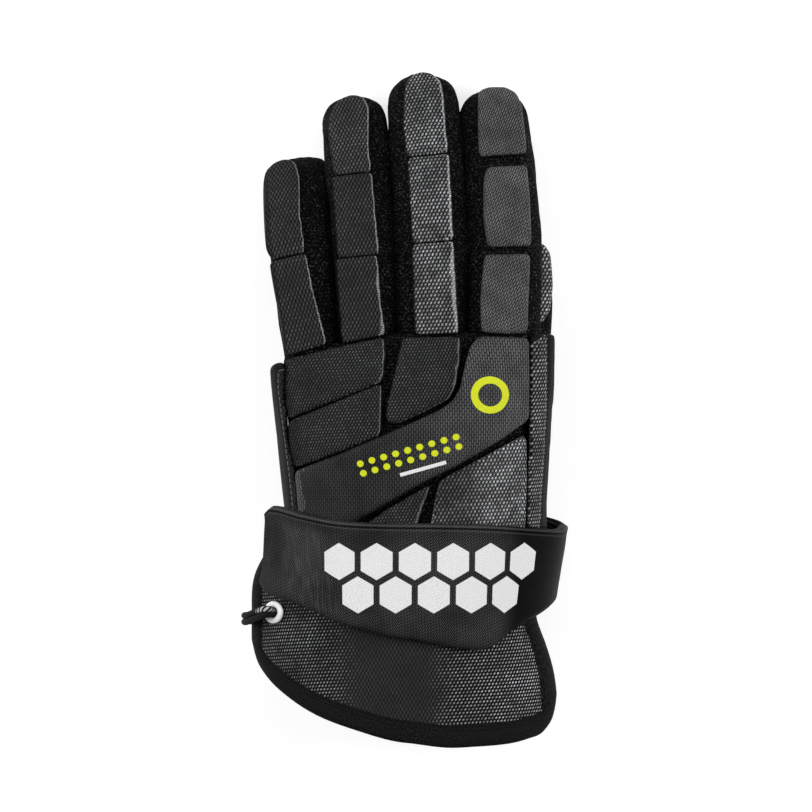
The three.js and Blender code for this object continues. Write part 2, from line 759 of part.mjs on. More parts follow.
// The lace: out of the eyelet, over the binding and back in under the cuff's edge
function cuffLace() {
  const seat = eyeletSeat();
  const through = cuffWall + laceDiameter;
  const edge = cuffPoint(cuffLeftTurn, seat.centre.y, bindingProud);
  const clear = laceDiameter / 2 + seatGap;
  const beside = (outwards, back, height) => new THREE.Vector3(
    edge.x - outwards, seat.centre.y - back, edge.z + height);
  const route = [
    seat.centre.clone().addScaledVector(seat.normal, -through),
    seat.centre.clone(),
    seat.centre.clone().addScaledVector(seat.normal, through),
    beside(clear, laceDiameter, laceDiameter * 4),
    beside(clear + laceDiameter * 0.2, laceDiameter, laceDiameter * 0.6),
    beside(-laceDiameter * 0.4, laceDiameter, -clear - laceDiameter * 0.6),
    beside(-laceDiameter * 2.2, laceDiameter, -laceDiameter * 0.7),
  ];
  const section = new THREE.Shape(Array.from({ length: laceSides }, (_, i) => {
    const angle = 2 * Math.PI * i / laceSides;
    return new THREE.Vector2(Math.cos(angle), Math.sin(angle)).multiplyScalar(laceDiameter / 2);
  }));
  return new THREE.ExtrudeGeometry(section, {
    steps: laceSteps,
    extrudePath: new THREE.CatmullRomCurve3(route, false, 'centripetal'),
  });
}

const materials = {
  weave: { color: 0x2b2c2d, roughness: 0.78 },
  twill: { color: 0x1c1c1e, roughness: 0.42 },
  mesh: { color: 0x111112, roughness: 0.9 },
  webbing: { color: 0x0d0d0e, roughness: 0.75 },
  palm: { color: 0x161617, roughness: 0.7 },
  plastic: { color: 0xe8e8e6, roughness: 0.35 },
  cord: { color: 0x141415, roughness: 0.8 },
};

const group = new THREE.Group();

function addPiece(name, geometry, finish) {
  const material = new THREE.MeshStandardMaterial({ ...materials[finish], metalness: 0 });
  const mesh = new THREE.Mesh(geometry, material);
  mesh.name = name;
  group.add(mesh);
  return mesh;
}

addPiece('hand_shell', handShell(), 'mesh');
addPiece('pinky_stall', fingerStall(fingers.pinky), 'mesh');
addPiece('ring_stall', fingerStall(fingers.ring), 'mesh');
addPiece('middle_stall', fingerStall(fingers.middle), 'mesh');
addPiece('index_stall', fingerStall(fingers.index), 'mesh');
addPiece('thumb_stall', stallGeometry(fingers.thumb), 'mesh');
for (const name of Object.keys(padCarriers)) {
  addPiece(name, fingerPad(name), padCarriers[name] === 'index' ? 'twill' : 'weave');
}
addPiece('outer_back_pad_upper', handPad('outer_back_pad_upper', backPadThickness, backPadFoot), 'weave');
addPiece('outer_back_pad_lower', handPad('outer_back_pad_lower', backPadThickness, backPadFoot), 'weave');
addPiece('centre_back_pad', handPad('centre_back_pad', backPadThickness, backPadFoot), 'weave');
addPiece('diagonal_back_pad', handPad('diagonal_back_pad', diagonalPadThickness, backPadFoot), 'twill');
addPiece('lower_back_pad_right', handPad('lower_back_pad_right', backPadThickness, backPadFoot), 'weave');
addPiece('lower_back_pad_left', handPad('lower_back_pad_left', backPadThickness, backPadFoot), 'weave');
addPiece('pinky_side_panel', handPad('pinky_side_panel', sidePanelThickness, pinkyPanelFoot), 'weave');
addPiece('thumb_side_panel', handPad('thumb_side_panel', sidePanelThickness, thumbPanelFoot), 'weave');
addPiece('cuff_flare', cuffFlare(), 'weave');
addPiece('cuff_binding', cuffBinding(), 'webbing');
addPiece('wrist_strap', wristStrap(), 'twill');
const eyelet = addPiece('cuff_eyelet', cuffEyelet(), 'plastic');
eyelet.position.copy(eyeletSeat().centre);
eyelet.quaternion.copy(facing(eyeletSeat().normal));
addPiece('cuff_lace', cuffLace(), 'cord');
addPiece('palm_panel', palmPanel(), 'palm');

// The origin lies under the middle of the glove, on the surface
group.updateMatrixWorld(true);
const extent = new THREE.Box3().setFromObject(group, true);
group.position.set(
  -(extent.min.x + extent.max.x) / 2, -(extent.min.y + extent.max.y) / 2, -extent.min.z);

export default group;
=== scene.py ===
import math
import bmesh
import bpy
import numpy as np
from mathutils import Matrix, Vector, noise


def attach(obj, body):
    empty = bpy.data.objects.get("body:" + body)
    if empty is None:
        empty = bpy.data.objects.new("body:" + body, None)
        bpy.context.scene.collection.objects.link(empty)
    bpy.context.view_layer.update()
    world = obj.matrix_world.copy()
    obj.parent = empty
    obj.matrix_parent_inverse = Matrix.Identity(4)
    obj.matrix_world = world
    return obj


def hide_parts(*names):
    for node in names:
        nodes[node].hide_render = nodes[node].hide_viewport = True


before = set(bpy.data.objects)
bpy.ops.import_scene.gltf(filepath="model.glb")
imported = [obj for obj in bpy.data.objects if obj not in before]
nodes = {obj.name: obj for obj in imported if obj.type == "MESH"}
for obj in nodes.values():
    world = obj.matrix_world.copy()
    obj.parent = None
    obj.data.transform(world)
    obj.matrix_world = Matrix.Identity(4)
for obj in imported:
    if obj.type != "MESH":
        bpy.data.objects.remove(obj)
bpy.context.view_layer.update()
scene = bpy.context.scene

# Sizes of the whole glove in metres; tables below are in hundredths of them
glove = {
    "width": 0.126,
    "length": 0.300,
    "height": 0.062,
    "shift": (0.00068, 0.00012, -0.00003),  # from the tables' middle to the frame's origin
    "squareness": 2.5,
}


def across(share):
    return np.asarray(share) / 100 * glove["width"]


def along(share):
    return np.asarray(share) / 100 * glove["length"]


def upward(share):
    return np.asarray(share) / 100 * glove["height"]


def linked(name, data):
    thing = bpy.data.objects.new(name, data)
    scene.collection.objects.link(thing)
    return thing


# Camera, floor and light

view = {"distance": 5.0, "at": (0.00068, 0.00112), "frame": 0.3613, "subjectHeight": 0.04, "sensor": 36.0}
eye = bpy.data.cameras.new("viewCamera")
eye.sensor_width = view["sensor"]
eye.lens = view["sensor"] * (view["distance"] - view["subjectHeight"]) / view["frame"]
eye.clip_start, eye.clip_end = 0.1, 20
camera = linked("viewCamera", eye)
camera.location = (*view["at"], view["distance"])
scene.camera = camera
scene.view_settings.view_transform = "Standard"

studio = {
    "floor": 4.0,
    "world": (1.0, 1.0, 1.0, 1.0),
    "worldStrength": 0.2,
    "lamps": {
        "rightBank": {"at": (1.35, 0.2, 1.1), "size": (0.7, 1.8), "power": 22},
        "leftBank": {"at": (-1.35, 0.35, 1.1), "size": (0.7, 1.8), "power": 24},
        "farBank": {"at": (0.0, 1.5, 1.3), "size": (1.4, 0.5), "power": 8},
    },
}


def lightStudio():
    world = bpy.data.worlds.new("paleRoom")
    scene.world = world
    world.use_nodes = True
    background = world.node_tree.nodes["Background"]
    background.inputs["Color"].default_value = studio["world"]
    background.inputs["Strength"].default_value = studio["worldStrength"]
    for name, lamp in studio["lamps"].items():
        data = bpy.data.lights.new(name, "AREA")
        data.shape = "RECTANGLE"
        data.size, data.size_y = lamp["size"]
        data.energy = lamp["power"]
        light = linked(name, data)
        light.location = lamp["at"]
        light.rotation_euler = (-Vector(lamp["at"])).to_track_quat("-Z", "Y").to_euler()
    half = studio["floor"] / 2
    corners = [(-half, -half, 0), (half, -half, 0), (half, half, 0), (-half, half, 0)]
    mesh = bpy.data.meshes.new("paleFloor")
    mesh.from_pydata(corners, [], [(0, 1, 2, 3)])
    floor = linked("paleFloor", mesh)
    return floor


floor = lightStudio()
print("studio is set")


# Shader maths: a socket that adds nodes as it is used in sums

class Wire:
    def __init__(self, finish, socket):
        self.finish = finish
        self.socket = socket

    def join(self, operation, left, right):
        plain = all(not isinstance(side, Wire) or side.socket.type == "VALUE" for side in (left, right))
        kind = "ShaderNodeMath" if plain else "ShaderNodeVectorMath"
        return self.finish.node(kind, {"operation": operation}, [left, right])

    def __add__(self, other):
        return self.join("ADD", self, other)

    def __radd__(self, other):
        return self.join("ADD", other, self)

    def __sub__(self, other):
        return self.join("SUBTRACT", self, other)

    def __rsub__(self, other):
        return self.join("SUBTRACT", other, self)

    def __mul__(self, other):
        return self.join("MULTIPLY", self, other)

    def __rmul__(self, other):
        return self.join("MULTIPLY", other, self)

    def __truediv__(self, other):
        return self.join("DIVIDE", self, other)

    def __rtruediv__(self, other):
        return self.join("DIVIDE", other, self)

    def __mod__(self, other):
        return self.join("FLOORED_MODULO", self, other)

    def __gt__(self, other):
        return self.join("GREATER_THAN", self, other)

    def __lt__(self, other):
        return self.join("LESS_THAN", self, other)

    def max(self, other):
        return self.join("MAXIMUM", self, other)

    def each(self, operation):
        return self.finish.node("ShaderNodeMath", {"operation": operation}, [self])

    def split(self):
        return [self.finish.node("ShaderNodeSeparateXYZ", {}, [self], output) for output in "XYZ"]

    # From 0 to 1 between two places, or from 1 to 0 where the first is the higher one
    def step(self, low, high):
        falling = low > high
        bounds = [self, min(low, high), max(low, high), 1 if falling else 0, 0 if falling else 1]
        return self.finish.node("ShaderNodeMapRange", {"interpolation_type": "SMOOTHSTEP"}, bounds)

    def between(self, first, second):
        return self.step(*first) * self.step(*second)


class Finish:
    def __init__(self, name, roughness=0.6, **fixed):
        self.material = bpy.data.materials.new(name)
        self.material.use_nodes = True
        self.tree = self.material.node_tree
        self.shader = self.tree.nodes["Principled BSDF"]
        self.shader.inputs["Roughness"].default_value = roughness
        for socket, value in fixed.items():
            self.shader.inputs[socket.replace("_", " ")].default_value = value

    def node(self, kind, settings, inputs, output=0):
        made = self.tree.nodes.new(kind)
        for key, value in settings.items():
            setattr(made, key, value)
        pairs = inputs.items() if isinstance(inputs, dict) else enumerate(inputs)
        for key, value in pairs:
            socket = made.inputs[key]
            if isinstance(value, Wire):
                self.tree.links.new(value.socket, socket)
            elif socket.type == "VALUE":
                socket.default_value = value
            elif isinstance(value, (int, float)):
                socket.default_value = [value] * len(socket.default_value)
            else:
                lengthened = (*value, 1) if len(value) < len(socket.default_value) else value
                socket.default_value = lengthened
        return Wire(self, made.outputs[output])

    def blend(self, factor, first, second):
        return self.node("ShaderNodeMix", {"data_type": "RGBA"}, {0: factor, 6: first, 7: second}, 2)

    # The places over the cloth that each mesh carries, in metres
    def cloth(self):
        return self.node("ShaderNodeAttribute", {"attribute_name": "clothAt"}, [], "Vector")

    def millimetres(self):
        return (self.cloth() * 1000).split()

    def normal(self):
        return self.node("ShaderNodeNewGeometry", {}, [], "Normal")

    def noise(self, place, scale, detail, roughness):
        values = {"Vector": place, "Scale": scale, "Detail": detail, "Roughness": roughness}
        return self.node("ShaderNodeTexNoise", {}, values)

    def bump(self, height, strength, distance):
        return self.node("ShaderNodeBump", {}, {"Height": height, "Strength": strength, "Distance": distance})

    def colour(self, red, green, blue):
        return self.node("ShaderNodeCombineColor", {}, [red, green, blue])

    def feed(self, **wires):
        for socket, wire in wires.items():
            self.tree.links.new(wire.socket, self.shader.inputs[socket.replace("_", " ")])
        return self.material


steep = {"side": 0.72, "end": 0.8}  # how far a pad's surface leans before it counts as its side or end


# Millimetres across and along the cloth; on a boxed pad's sides and ends its height takes their place
def clothPlace(finish, boxed):
    side, length, height = finish.millimetres()
    if not boxed:
        return side, length
    normalX, normalY, _ = finish.normal().split()
    onSide = normalX.each("ABSOLUTE") > steep["side"]
    onEnd = normalY.each("ABSOLUTE") > steep["end"]
    return side + (height - side) * onSide, length + (height - length) * onEnd


def turned(x, y, degrees):
    turn = math.radians(degrees)
    return x * math.cos(turn) + y * math.sin(turn), y * math.cos(turn) - x * math.sin(turn)


# Distance from the middle of the nearest oval in a staggered grid, 1 at its edge, and the oval's own chance
def spots(finish, u, v, pitch, size, lean, shift=0.0):
    row = v / pitch[1]
    rowIndex = row.each("FLOOR")
    column = u / pitch[0] + shift + (rowIndex % 2) * 0.5
    x = (column.each("FRACT") - 0.5) * pitch[0]
    y = (row.each("FRACT") - 0.5) * pitch[1]
    a, b = turned(x, y, lean)
    a, b = a / size[0], b / size[1]
    reach = (a * a + b * b).each("SQRT")
    cell = finish.node("ShaderNodeCombineXYZ", {}, [column.each("FLOOR"), rowIndex])
    chance = finish.node("ShaderNodeTexWhiteNoise", {"noise_dimensions": "2D"}, {"Vector": cell}, "Value")
    return reach, chance


# Brightness of gaps, yarn, net and flecks, how many flecks glint, and their pitch and size in millimetres;
# the flecks' and net's brightness is partly the weave's own pale dots, partly painted glint
plainWeave = {"gap": 0.001, "yarn": 0.010, "net": 0.0, "share": 1.0, "pitch": (1.7, 1.6), "size": (0.6, 0.32)}
fineWeave = {**plainWeave, "pitch": (1.67, 1.5)}
weaveStyles = {
    # Painted shade: the shaded copy of the weave, its flecks dim, for pads away from the light
    "paintedDimWeave": {**fineWeave, "yarn": 0.017, "fleck": 0.070, "share": 0.9},
    "ringTipWeave": {**fineWeave, "yarn": 0.022, "fleck": 0.125, "share": 0.9},
    # Painted light: the lit copy of the same weave, its flecks bright, for the middle finger's pads, as if
    # lit from the right
    "paintedLitWeave": {**fineWeave, "yarn": 0.013, "fleck": 0.46, "net": 0.06},
    "backWeave": {**plainWeave, "yarn": 0.014, "fleck": 0.125, "share": 0.8,
                  "pitch": (1.5, 1.35), "size": (0.52, 0.28)},
    "panelWeave": {**plainWeave, "fleck": 0.62, "net": 0.11, "size": (0.58, 0.3)},
    "thumbPadWeave": {**plainWeave, "fleck": 0.66, "net": 0.08},
    "thumbPanelWeave": {**plainWeave, "yarn": 0.008, "fleck": 0.40, "net": 0.04},
    "pinkyPanelWeave": {**plainWeave, "gap": 0.002, "fleck": 0.02, "pitch": (2.4, 1.3), "size": (1.0, 0.3)},
    "cuffWeave": {**plainWeave, "yarn": 0.004, "fleck": 0.56, "pitch": (1.7, 1.5), "size": (0.56, 0.3)},
}
weaveLook = {
    "slant": 0.05,
    "fleck": {"lean": 38, "edge": (1.3, 0.6)},
    "hole": {"lean": -30, "edge": (1.5, 0.7), "size": (0.8, 1.35)},
    "clouds": 55,
    "sideDarkening": (0.6, 0.8),
    "paintedEdgeHighlight": ((0.3, 0.42), (0.8, 0.62)),
    "dash": {"slant": 0.4, "pitch": 0.9, "edge": (0.35, 0.6)},
}
panelTape = {"width": 2.7, "fade": 0.15, "shade": 0.005, "seam": 3.3, "stitch": 2.6, "thread": 0.09}


# edge sets how bright the painted highlight along the pads' right-facing edges is
def weaveFinish(name, boxed=True, sideDarkening=0.0, edge=0.0, lit=None, paintedUnlitBand=None, taped=False):
    style, flecks, holes = weaveStyles[name], weaveLook["fleck"], weaveLook["hole"]
    finish = Finish(name, roughness=0.62, Specular_IOR_Level=0.06)
    u, v = clothPlace(finish, boxed)
    slanted = v - u * weaveLook["slant"]
    fromFleck, chance = spots(finish, u, slanted, style["pitch"], style["size"], flecks["lean"])
    fleck = fromFleck.step(*flecks["edge"])
    holeSize = [size * share for size, share in zip(style["size"], holes["size"])]
    fromHole, _ = spots(finish, u, slanted, style["pitch"], holeSize, holes["lean"], 0.5)
    hole = fromHole.step(*holes["edge"])
    cloud = finish.noise(finish.cloth(), weaveLook["clouds"], 3.0, 0.6)
    glint = (chance * 0.6 + 0.4) * style["share"] * (cloud.step(0.3, 0.7) * 0.6 + 0.55)
    grey = style["yarn"] * (1 - hole * 0.92) * (cloud * 0.5 + 0.75) + style["gap"]
    # Painted light: the glint grows across the cloth from its least share to full, brighter towards the right
    # as if lit from there
    if lit:
        dim, bright, least = lit
        glint = glint * (u.step(dim, bright) * (1 - least) + least)
    # Painted shade: across this band of the cuff's middle the glint is cut to a tenth, as where no lamp
    # reflects, and the yarn is made lighter
    if paintedUnlitBand:
        flat = u.between(*paintedUnlitBand)
        glint = glint * (1 - flat * 0.9)
        grey = grey * (1 + flat * 2.6)
    # Painted glint: flecks and net lighten the colour, partly the weave's own pale dots, partly standing in
    # for light they reflect
    shade = grey + (fleck + (1 - hole) * style["net"]) * glint * style["fleck"]
    # Darker where the surface faces sideways
    if sideDarkening:
        normalX = finish.normal().split()[0]
        away = normalX.each("ABSOLUTE")
        # Painted highlight: a bright dashed line on the rounded edges that face right, as strong as edge
        paintedEdgeHighlight = normalX.between(*weaveLook["paintedEdgeHighlight"])
        dash = weaveLook["dash"]
        dashes = ((u * dash["slant"] + v) / dash["pitch"] % 1).step(*dash["edge"])
        shade = shade * (1 - away.step(*weaveLook["sideDarkening"]) * sideDarkening) + paintedEdgeHighlight * (dashes * 0.8 + 0.2) * edge
    relief = fleck * 0.6 - hole * 0.5 + cloud * 0.4
    if taped:
        inward = finish.millimetres()[2]
        width, seam, fade = panelTape["width"], panelTape["seam"], panelTape["fade"]
        tape = inward.step(width + fade, width - fade)
        stitched = inward.between((seam - 0.3, seam - 0.1), (seam + 0.3, seam + 0.1))
        thread = stitched * (v / panelTape["stitch"] % 1).step(0.3, 0.4) * panelTape["thread"]
        shade = shade * (1 - tape) + tape * panelTape["shade"] * (cloud * 0.6 + 0.7) + thread
        relief = relief * (1 - tape) + tape * 1.5
    colour = finish.colour(shade * 0.98, shade, shade * 1.03)
    return finish.feed(
        Base_Color=colour,
        Roughness=0.66 - fleck * 0.16,
        Normal=finish.bump(relief, 0.5, 0.00035),
    )


meshLook = {"pitch": (1.9, 1.5), "size": (0.6, 0.42), "grain": 1100, "gap": 0.002, "strand": 0.078}


def meshFinish():
    finish = Finish("stallMesh", roughness=0.9, Specular_IOR_Level=0.05)
    u, v = clothPlace(finish, True)
    reach, chance = spots(finish, u, v, meshLook["pitch"], meshLook["size"], 0)
    hole = reach.step(1.2, 0.7)
    cloud = finish.noise(finish.cloth(), meshLook["grain"], 3.0, 0.65)
    strand = (1 - hole) * cloud.step(0.5, 0.7) * (chance * 0.6 + 0.4)
    shade = meshLook["gap"] + strand * meshLook["strand"]
    colour = finish.colour(shade, shade, shade * 1.03)
    return finish.feed(Base_Color=colour, Normal=finish.bump(cloud * 0.5 - hole, 0.7, 0.0005))


# The strap's leather, with painted highlights on its crinkles and piping, painted shade in a crease and at
# its right end, and a painted sheen spot: the millimetres over which each effect fades, round it, along it or
# in from its edge
leatherLook = {
    "crinkled": ((-24, -40), (-64, -52)),
    "crinkleInset": (3.8, 7),
    "piping": ((0.5, 1.0), (1.8, 1.3)),
    "secondPiping": ((2.6, 3.0), (3.6, 3.2)),
    "crease": ((1.5, 2.0), (2.9, 2.3)),
    "paintedSheenSpot": ((-30, -42), (-64, -54)),
    "sheenSpotAlong": (-82, -66),
    "sheenSpotInset": (3, 9),
    "paintedShadeEnd": (40, 56),
}


# Painted highlights and shade on the strap's leather, and where it crinkles
def leatherPaintedLight(finish, value, cloud, u, v):
    inward = finish.millimetres()[2]
    place = finish.node("ShaderNodeCombineXYZ", {}, [u * 0.85 + v * 0.06, v * 0.11])
    # Crinkles on the strap's left: a bump, with painted highlights on them
    crinkleAndHighlight = finish.noise(place, 1.0, 3.0, 0.5).step(0.46, 0.7) * u.between(*leatherLook["crinkled"])
    crinkleAndHighlight = crinkleAndHighlight * inward.step(*leatherLook["crinkleInset"])
    # Painted highlights along the two lines of piping
    piping = inward.between(*leatherLook["piping"]) + inward.between(*leatherLook["secondPiping"]) * 0.7
    # Painted shade: a dark line in the crease between the two lines of piping
    crease = inward.between(*leatherLook["crease"])
    # Painted sheen: a soft lighter spot on the strap's left part
    paintedSheenSpot = u.between(*leatherLook["paintedSheenSpot"]) * v.step(*leatherLook["sheenSpotAlong"])
    paintedSheenSpot = paintedSheenSpot * inward.step(*leatherLook["sheenSpotInset"])
    # Painted shade: the strap's right end darker, as if turned away from the light
    value = value * (1 - u.step(*leatherLook["paintedShadeEnd"]) * 0.85) * (1 - crease * 0.8)
    value = value + crinkleAndHighlight * 0.02 + piping * 0.028
    return value + paintedSheenSpot * (0.006 + cloud * 0.014), crinkleAndHighlight


# Short ribs laid like bricks, each about a millimetre wide, with slow clouds of painted sheen over them,
# lighter and darker at random
def twillFinish(name, shade, ribs, lean, sheen, boxed=True, lit=None, leather=False, motif=None):
    finish = Finish(name, roughness=sheen, Specular_IOR_Level=0.02 if leather else 0.12)
    u, v = clothPlace(finish, boxed)
    stretch, length = turned(u, v, lean)
    line = (stretch / ribs % 1 - 0.5).each("ABSOLUTE") * 2
    brick = ((stretch / ribs).each("FLOOR") * 0.5 + length / (ribs * 2.6)) % 1
    dash = (brick - 0.5).each("ABSOLUTE") * 2
    relief = line.step(0.8, 0.3) * dash.step(0.98, 0.65)
    cloud = finish.noise(finish.cloth(), 40 if leather else 90, 4.0, 0.6)
    # Painted sheen: broad soft clouds that lighten and darken the ribs
    paintedSheenCloud = cloud.step(0.25, 0.75)
    value = shade * (0.18 + relief * 1.6) * (0.65 + paintedSheenCloud * 0.7)
    if leather:
        value, crinkleAndHighlight = leatherPaintedLight(finish, value, cloud, u, v)
        relief = relief + crinkleAndHighlight
    # Painted light: the ribs grow brighter across the pad from left to right, as if lit from the right
    if lit:
        value = value * (u.step(*lit) * 1.05 + 0.45)
    colour = finish.colour(value * 0.99, value, value * 1.04)
    roughness = sheen + cloud * 0.12 - relief * 0.08
    if motif:
        colour, roughness = motif(finish, colour, roughness, u, v)
    return finish.feed(Base_Color=colour, Roughness=roughness,
                       Normal=finish.bump(relief + cloud * 0.6, 0.4, 0.00025))


# Plain round dots, a ring and a bar on the back's long pad, in the pad's own yellow and white
padMotif = {
    "ring": {"at": (36.0, 6.0), "outer": 8.2, "inner": 5.1},
    "dots": {"at": (-19.0, -31.5), "slope": 16.5, "count": (9, 2), "pitch": (5.2, 4.4), "radius": 1.45},
    "bar": {"at": (8.0, -26.6), "slope": 16.5, "half": (10.0, 0.8)},
    "fade": 0.15,
    "yellow": (0.60, 0.66, 0.015),
    "white": (0.72, 0.72, 0.72),
}


def printPad(finish, colour, roughness, u, v):
    ring, dots, bar, fade = (padMotif[part] for part in ("ring", "dots", "bar", "fade"))
    x, y = u - ring["at"][0], v - ring["at"][1]
    reach = (x * x + y * y).each("SQRT")
    outer, inner = ring["outer"], ring["inner"]
    yellow = reach.between((outer + fade, outer - fade), (inner - fade, inner + fade))
    x, y = turned(u - dots["at"][0], v - dots["at"][1], dots["slope"])
    (countX, countY), (pitchX, pitchY) = dots["count"], dots["pitch"]
    inside = (x > 0) * (x < countX * pitchX) * (y > 0) * (y < countY * pitchY)
    x, y = (x % pitchX) - pitchX / 2, (y % pitchY) - pitchY / 2
    dot = (x * x + y * y).each("SQRT").step(dots["radius"] + fade, dots["radius"] - fade)
    yellow = yellow.max(dot * inside)
    x, y = turned(u - bar["at"][0], v - bar["at"][1], bar["slope"])
    white = (x.each("ABSOLUTE") < bar["half"][0]) * (y.each("ABSOLUTE") < bar["half"][1])
    colour = finish.blend(yellow, colour, padMotif["yellow"])
    colour = finish.blend(white, colour, padMotif["white"])
    return colour, roughness - (yellow + white) * 0.05


# Two staggered rows of white hexagons on the strap
strapMotif = {
    "from": -38.5,
    "centre": -75.0,
    "pitch": 17.0,
    "apothem": 7.1,
    "fade": 0.15,
    "counts": (6, 5),
    "white": (0.70, 0.70, 0.70),
}


def printStrap(finish, colour, roughness, u, v):
    pitch, apothem, fade = strapMotif["pitch"], strapMotif["apothem"], strapMotif["fade"]
    rise = pitch * math.sqrt(3) / 2
    white = None
    for row, count in enumerate(strapMotif["counts"]):
        y = v - (strapMotif["centre"] + rise * (0.5 - row))
        place = u - strapMotif["from"] - pitch / 2 * row
        inside = (place > 0) * (place < pitch * count)
        x = ((place % pitch) - pitch / 2).each("ABSOLUTE")
        tall = y.each("ABSOLUTE")
        reach = x.max(x * 0.5 + tall * (math.sqrt(3) / 2))
        hexagon = reach.step(apothem + fade, apothem - fade) * inside
        white = hexagon if white is None else white.max(hexagon)
    colour = finish.blend(white, colour, strapMotif["white"])
    return colour, roughness + white * 0.1


def plainFinish(name, shade, roughness, grain, depth, **fixed):
    finish = Finish(name, roughness=roughness, **fixed)
    place = finish.node("ShaderNodeTexCoord", {}, [], "Object")
    cloud = finish.noise(place, grain, 4.0, 0.65)
    broad = finish.noise(place, grain / 12, 2.0, 0.5)
    value = cloud * 0.5 + broad * 0.5 + 0.5
    colour = finish.colour(*(value * part for part in shade))
    return finish.feed(Base_Color=colour, Roughness=roughness + cloud * 0.1 - 0.05,
                       Normal=finish.bump(cloud, 0.4, depth))


tapeLook = {"seams": (7.4, 9.0), "seamHalf": (0.3, 0.18), "stitch": 2.8, "grain": 1300}


def tapeFinish():
    finish = Finish("cuffTape", roughness=0.6, Specular_IOR_Level=0.02)
    inward, length, _ = finish.millimetres()
    cloud = finish.noise(finish.cloth(), tapeLook["grain"], 3.0, 0.6)
    thread = (length / tapeLook["stitch"] % 1).step(0.3, 0.4)
    first, second = ((inward - at).each("ABSOLUTE").step(*tapeLook["seamHalf"]) for at in tapeLook["seams"])
    stitch = (first + second) * thread
    value = cloud.step(0.35, 0.7) * 0.016 * (1 - first - second) + 0.0015 + stitch * 0.006
    colour = finish.colour(value, value, value * 1.04)
    return finish.feed(Base_Color=colour, Normal=finish.bump(cloud * 0.6 + stitch * 2, 0.4, 0.0003))


# One cord of the lace has pale strokes over a short stretch, in millimetres along it
laceLook = {"pale": ((6, 7), (18, 16)), "paleShade": 0.55, "top": (0.35, 0.75)}


def laceFinish():
    finish = Finish("laceCord", roughness=0.7, Specular_IOR_Level=0.1)
    u, v, cord = finish.millimetres()
    wave = ((u * 0.9 + v * 0.9) % 1.0).step(0.3, 0.5)
    onTop = finish.normal().split()[2].step(*laceLook["top"])
    strokes = ((v * 0.62 + u * 0.35) % 1.0).step(0.4, 0.6)
    pale = (cord < 0.5) * onTop * strokes * v.between(*laceLook["pale"])
    value = 0.004 + wave * 0.006 + pale * laceLook["paleShade"]
    colour = finish.colour(value, value, value)
    return finish.feed(Base_Color=colour, Normal=finish.bump(wave, 0.6, 0.0003))


finishes = {
    "paintedDimWeave": weaveFinish("paintedDimWeave", sideDarkening=0.8, edge=0.30),
    "paintedLitWeave": weaveFinish("paintedLitWeave", sideDarkening=0.8, edge=0.34),
    "backWeave": weaveFinish("backWeave", sideDarkening=0.5, edge=0.16),
    "ringTipWeave": weaveFinish("ringTipWeave", sideDarkening=0.8, edge=0.34),
    "panelWeave": weaveFinish("panelWeave", lit=(22, 40, 0.35)),
    "thumbPadWeave": weaveFinish("thumbPadWeave"),
    "thumbPanelWeave": weaveFinish("thumbPanelWeave", boxed=False, taped=True),
    "pinkyPanelWeave": weaveFinish("pinkyPanelWeave", boxed=False, taped=True),
    "cuffWeave": weaveFinish("cuffWeave", boxed=False, lit=(10, 46, 0.52), paintedUnlitBand=((-38, -20), (24, 8))),
    "indexTwill": twillFinish("indexTwill", 0.060, 0.95, -28, 0.5),
    "padTwill": twillFinish("padTwill", 0.036, 1.0, 0, 0.5, lit=(-20, 45), motif=printPad),
    "strapTwill": twillFinish("strapTwill", 0.027, 0.82, -35, 0.45, boxed=False, leather=True,
                              motif=printStrap),
    "stallMesh": meshFinish(),
    "cuffTape": tapeFinish(),
    "palmSuede": plainFinish("palmSuede", (0.020, 0.020, 0.022), 0.85, 1500, 0.0002, Specular_IOR_Level=0.15),
    "eyeletPlastic": plainFinish("eyeletPlastic", (0.78, 0.78, 0.77), 0.35, 300, 0.00002),
    "laceCord": laceFinish(),
    "paleFloor": plainFinish("paleFloor", (0.45, 0.45, 0.45), 0.9, 2, 0.0,
                             Emission_Color=(1, 1, 1, 1), Emission_Strength=0.7),
}
floor.data.materials.append(finishes["paleFloor"])
print("finishes are made")


# Meshes

def newPiece(name, mesh, finish, replaced):
    piece = linked(name, mesh)
    mesh.materials.clear()
    mesh.materials.append(finishes[finish])
    for face in mesh.polygons:
        face.use_smooth = True
    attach(piece, "root")
    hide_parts(replaced)
    return piece


def evaluated(piece):
    graph = bpy.context.evaluated_depsgraph_get()
    return bpy.data.meshes.new_from_object(piece.evaluated_get(graph))


def points(mesh):
    flat = np.empty(len(mesh.vertices) * 3)
    mesh.vertices.foreach_get("co", flat)
    return flat.reshape(-1, 3)


def normals(mesh):
    flat = np.empty(len(mesh.vertices) * 3)
    mesh.vertices.foreach_get("normal", flat)
    return flat.reshape(-1, 3)


def setPoints(mesh, places):
    mesh.vertices.foreach_set("co", places.ravel())
    mesh.update()


def setCloth(mesh, places):
    layer = mesh.attributes.get("clothAt") or mesh.attributes.new("clothAt", "FLOAT_VECTOR", "POINT")
    layer.data.foreach_set("vector", np.asarray(places, float).ravel())


weldGap = 0.00002
flatEnough = {"angle_face_threshold": 0.8, "angle_shape_threshold": 1.2}


def reworked(mesh, steps):
    shape = bmesh.new()
    shape.from_mesh(mesh)
    steps(shape)
    shape.to_mesh(mesh)
    shape.free()
    return mesh


def weld(shape):
    bmesh.ops.remove_doubles(shape, verts=shape.verts, dist=weldGap)


def faceOutward(shape):
    bmesh.ops.recalc_face_normals(shape, faces=shape.faces)


def joinFlat(shape):
    weld(shape)
    bmesh.ops.join_triangles(shape, faces=shape.faces, **flatEnough)
    faceOutward(shape)


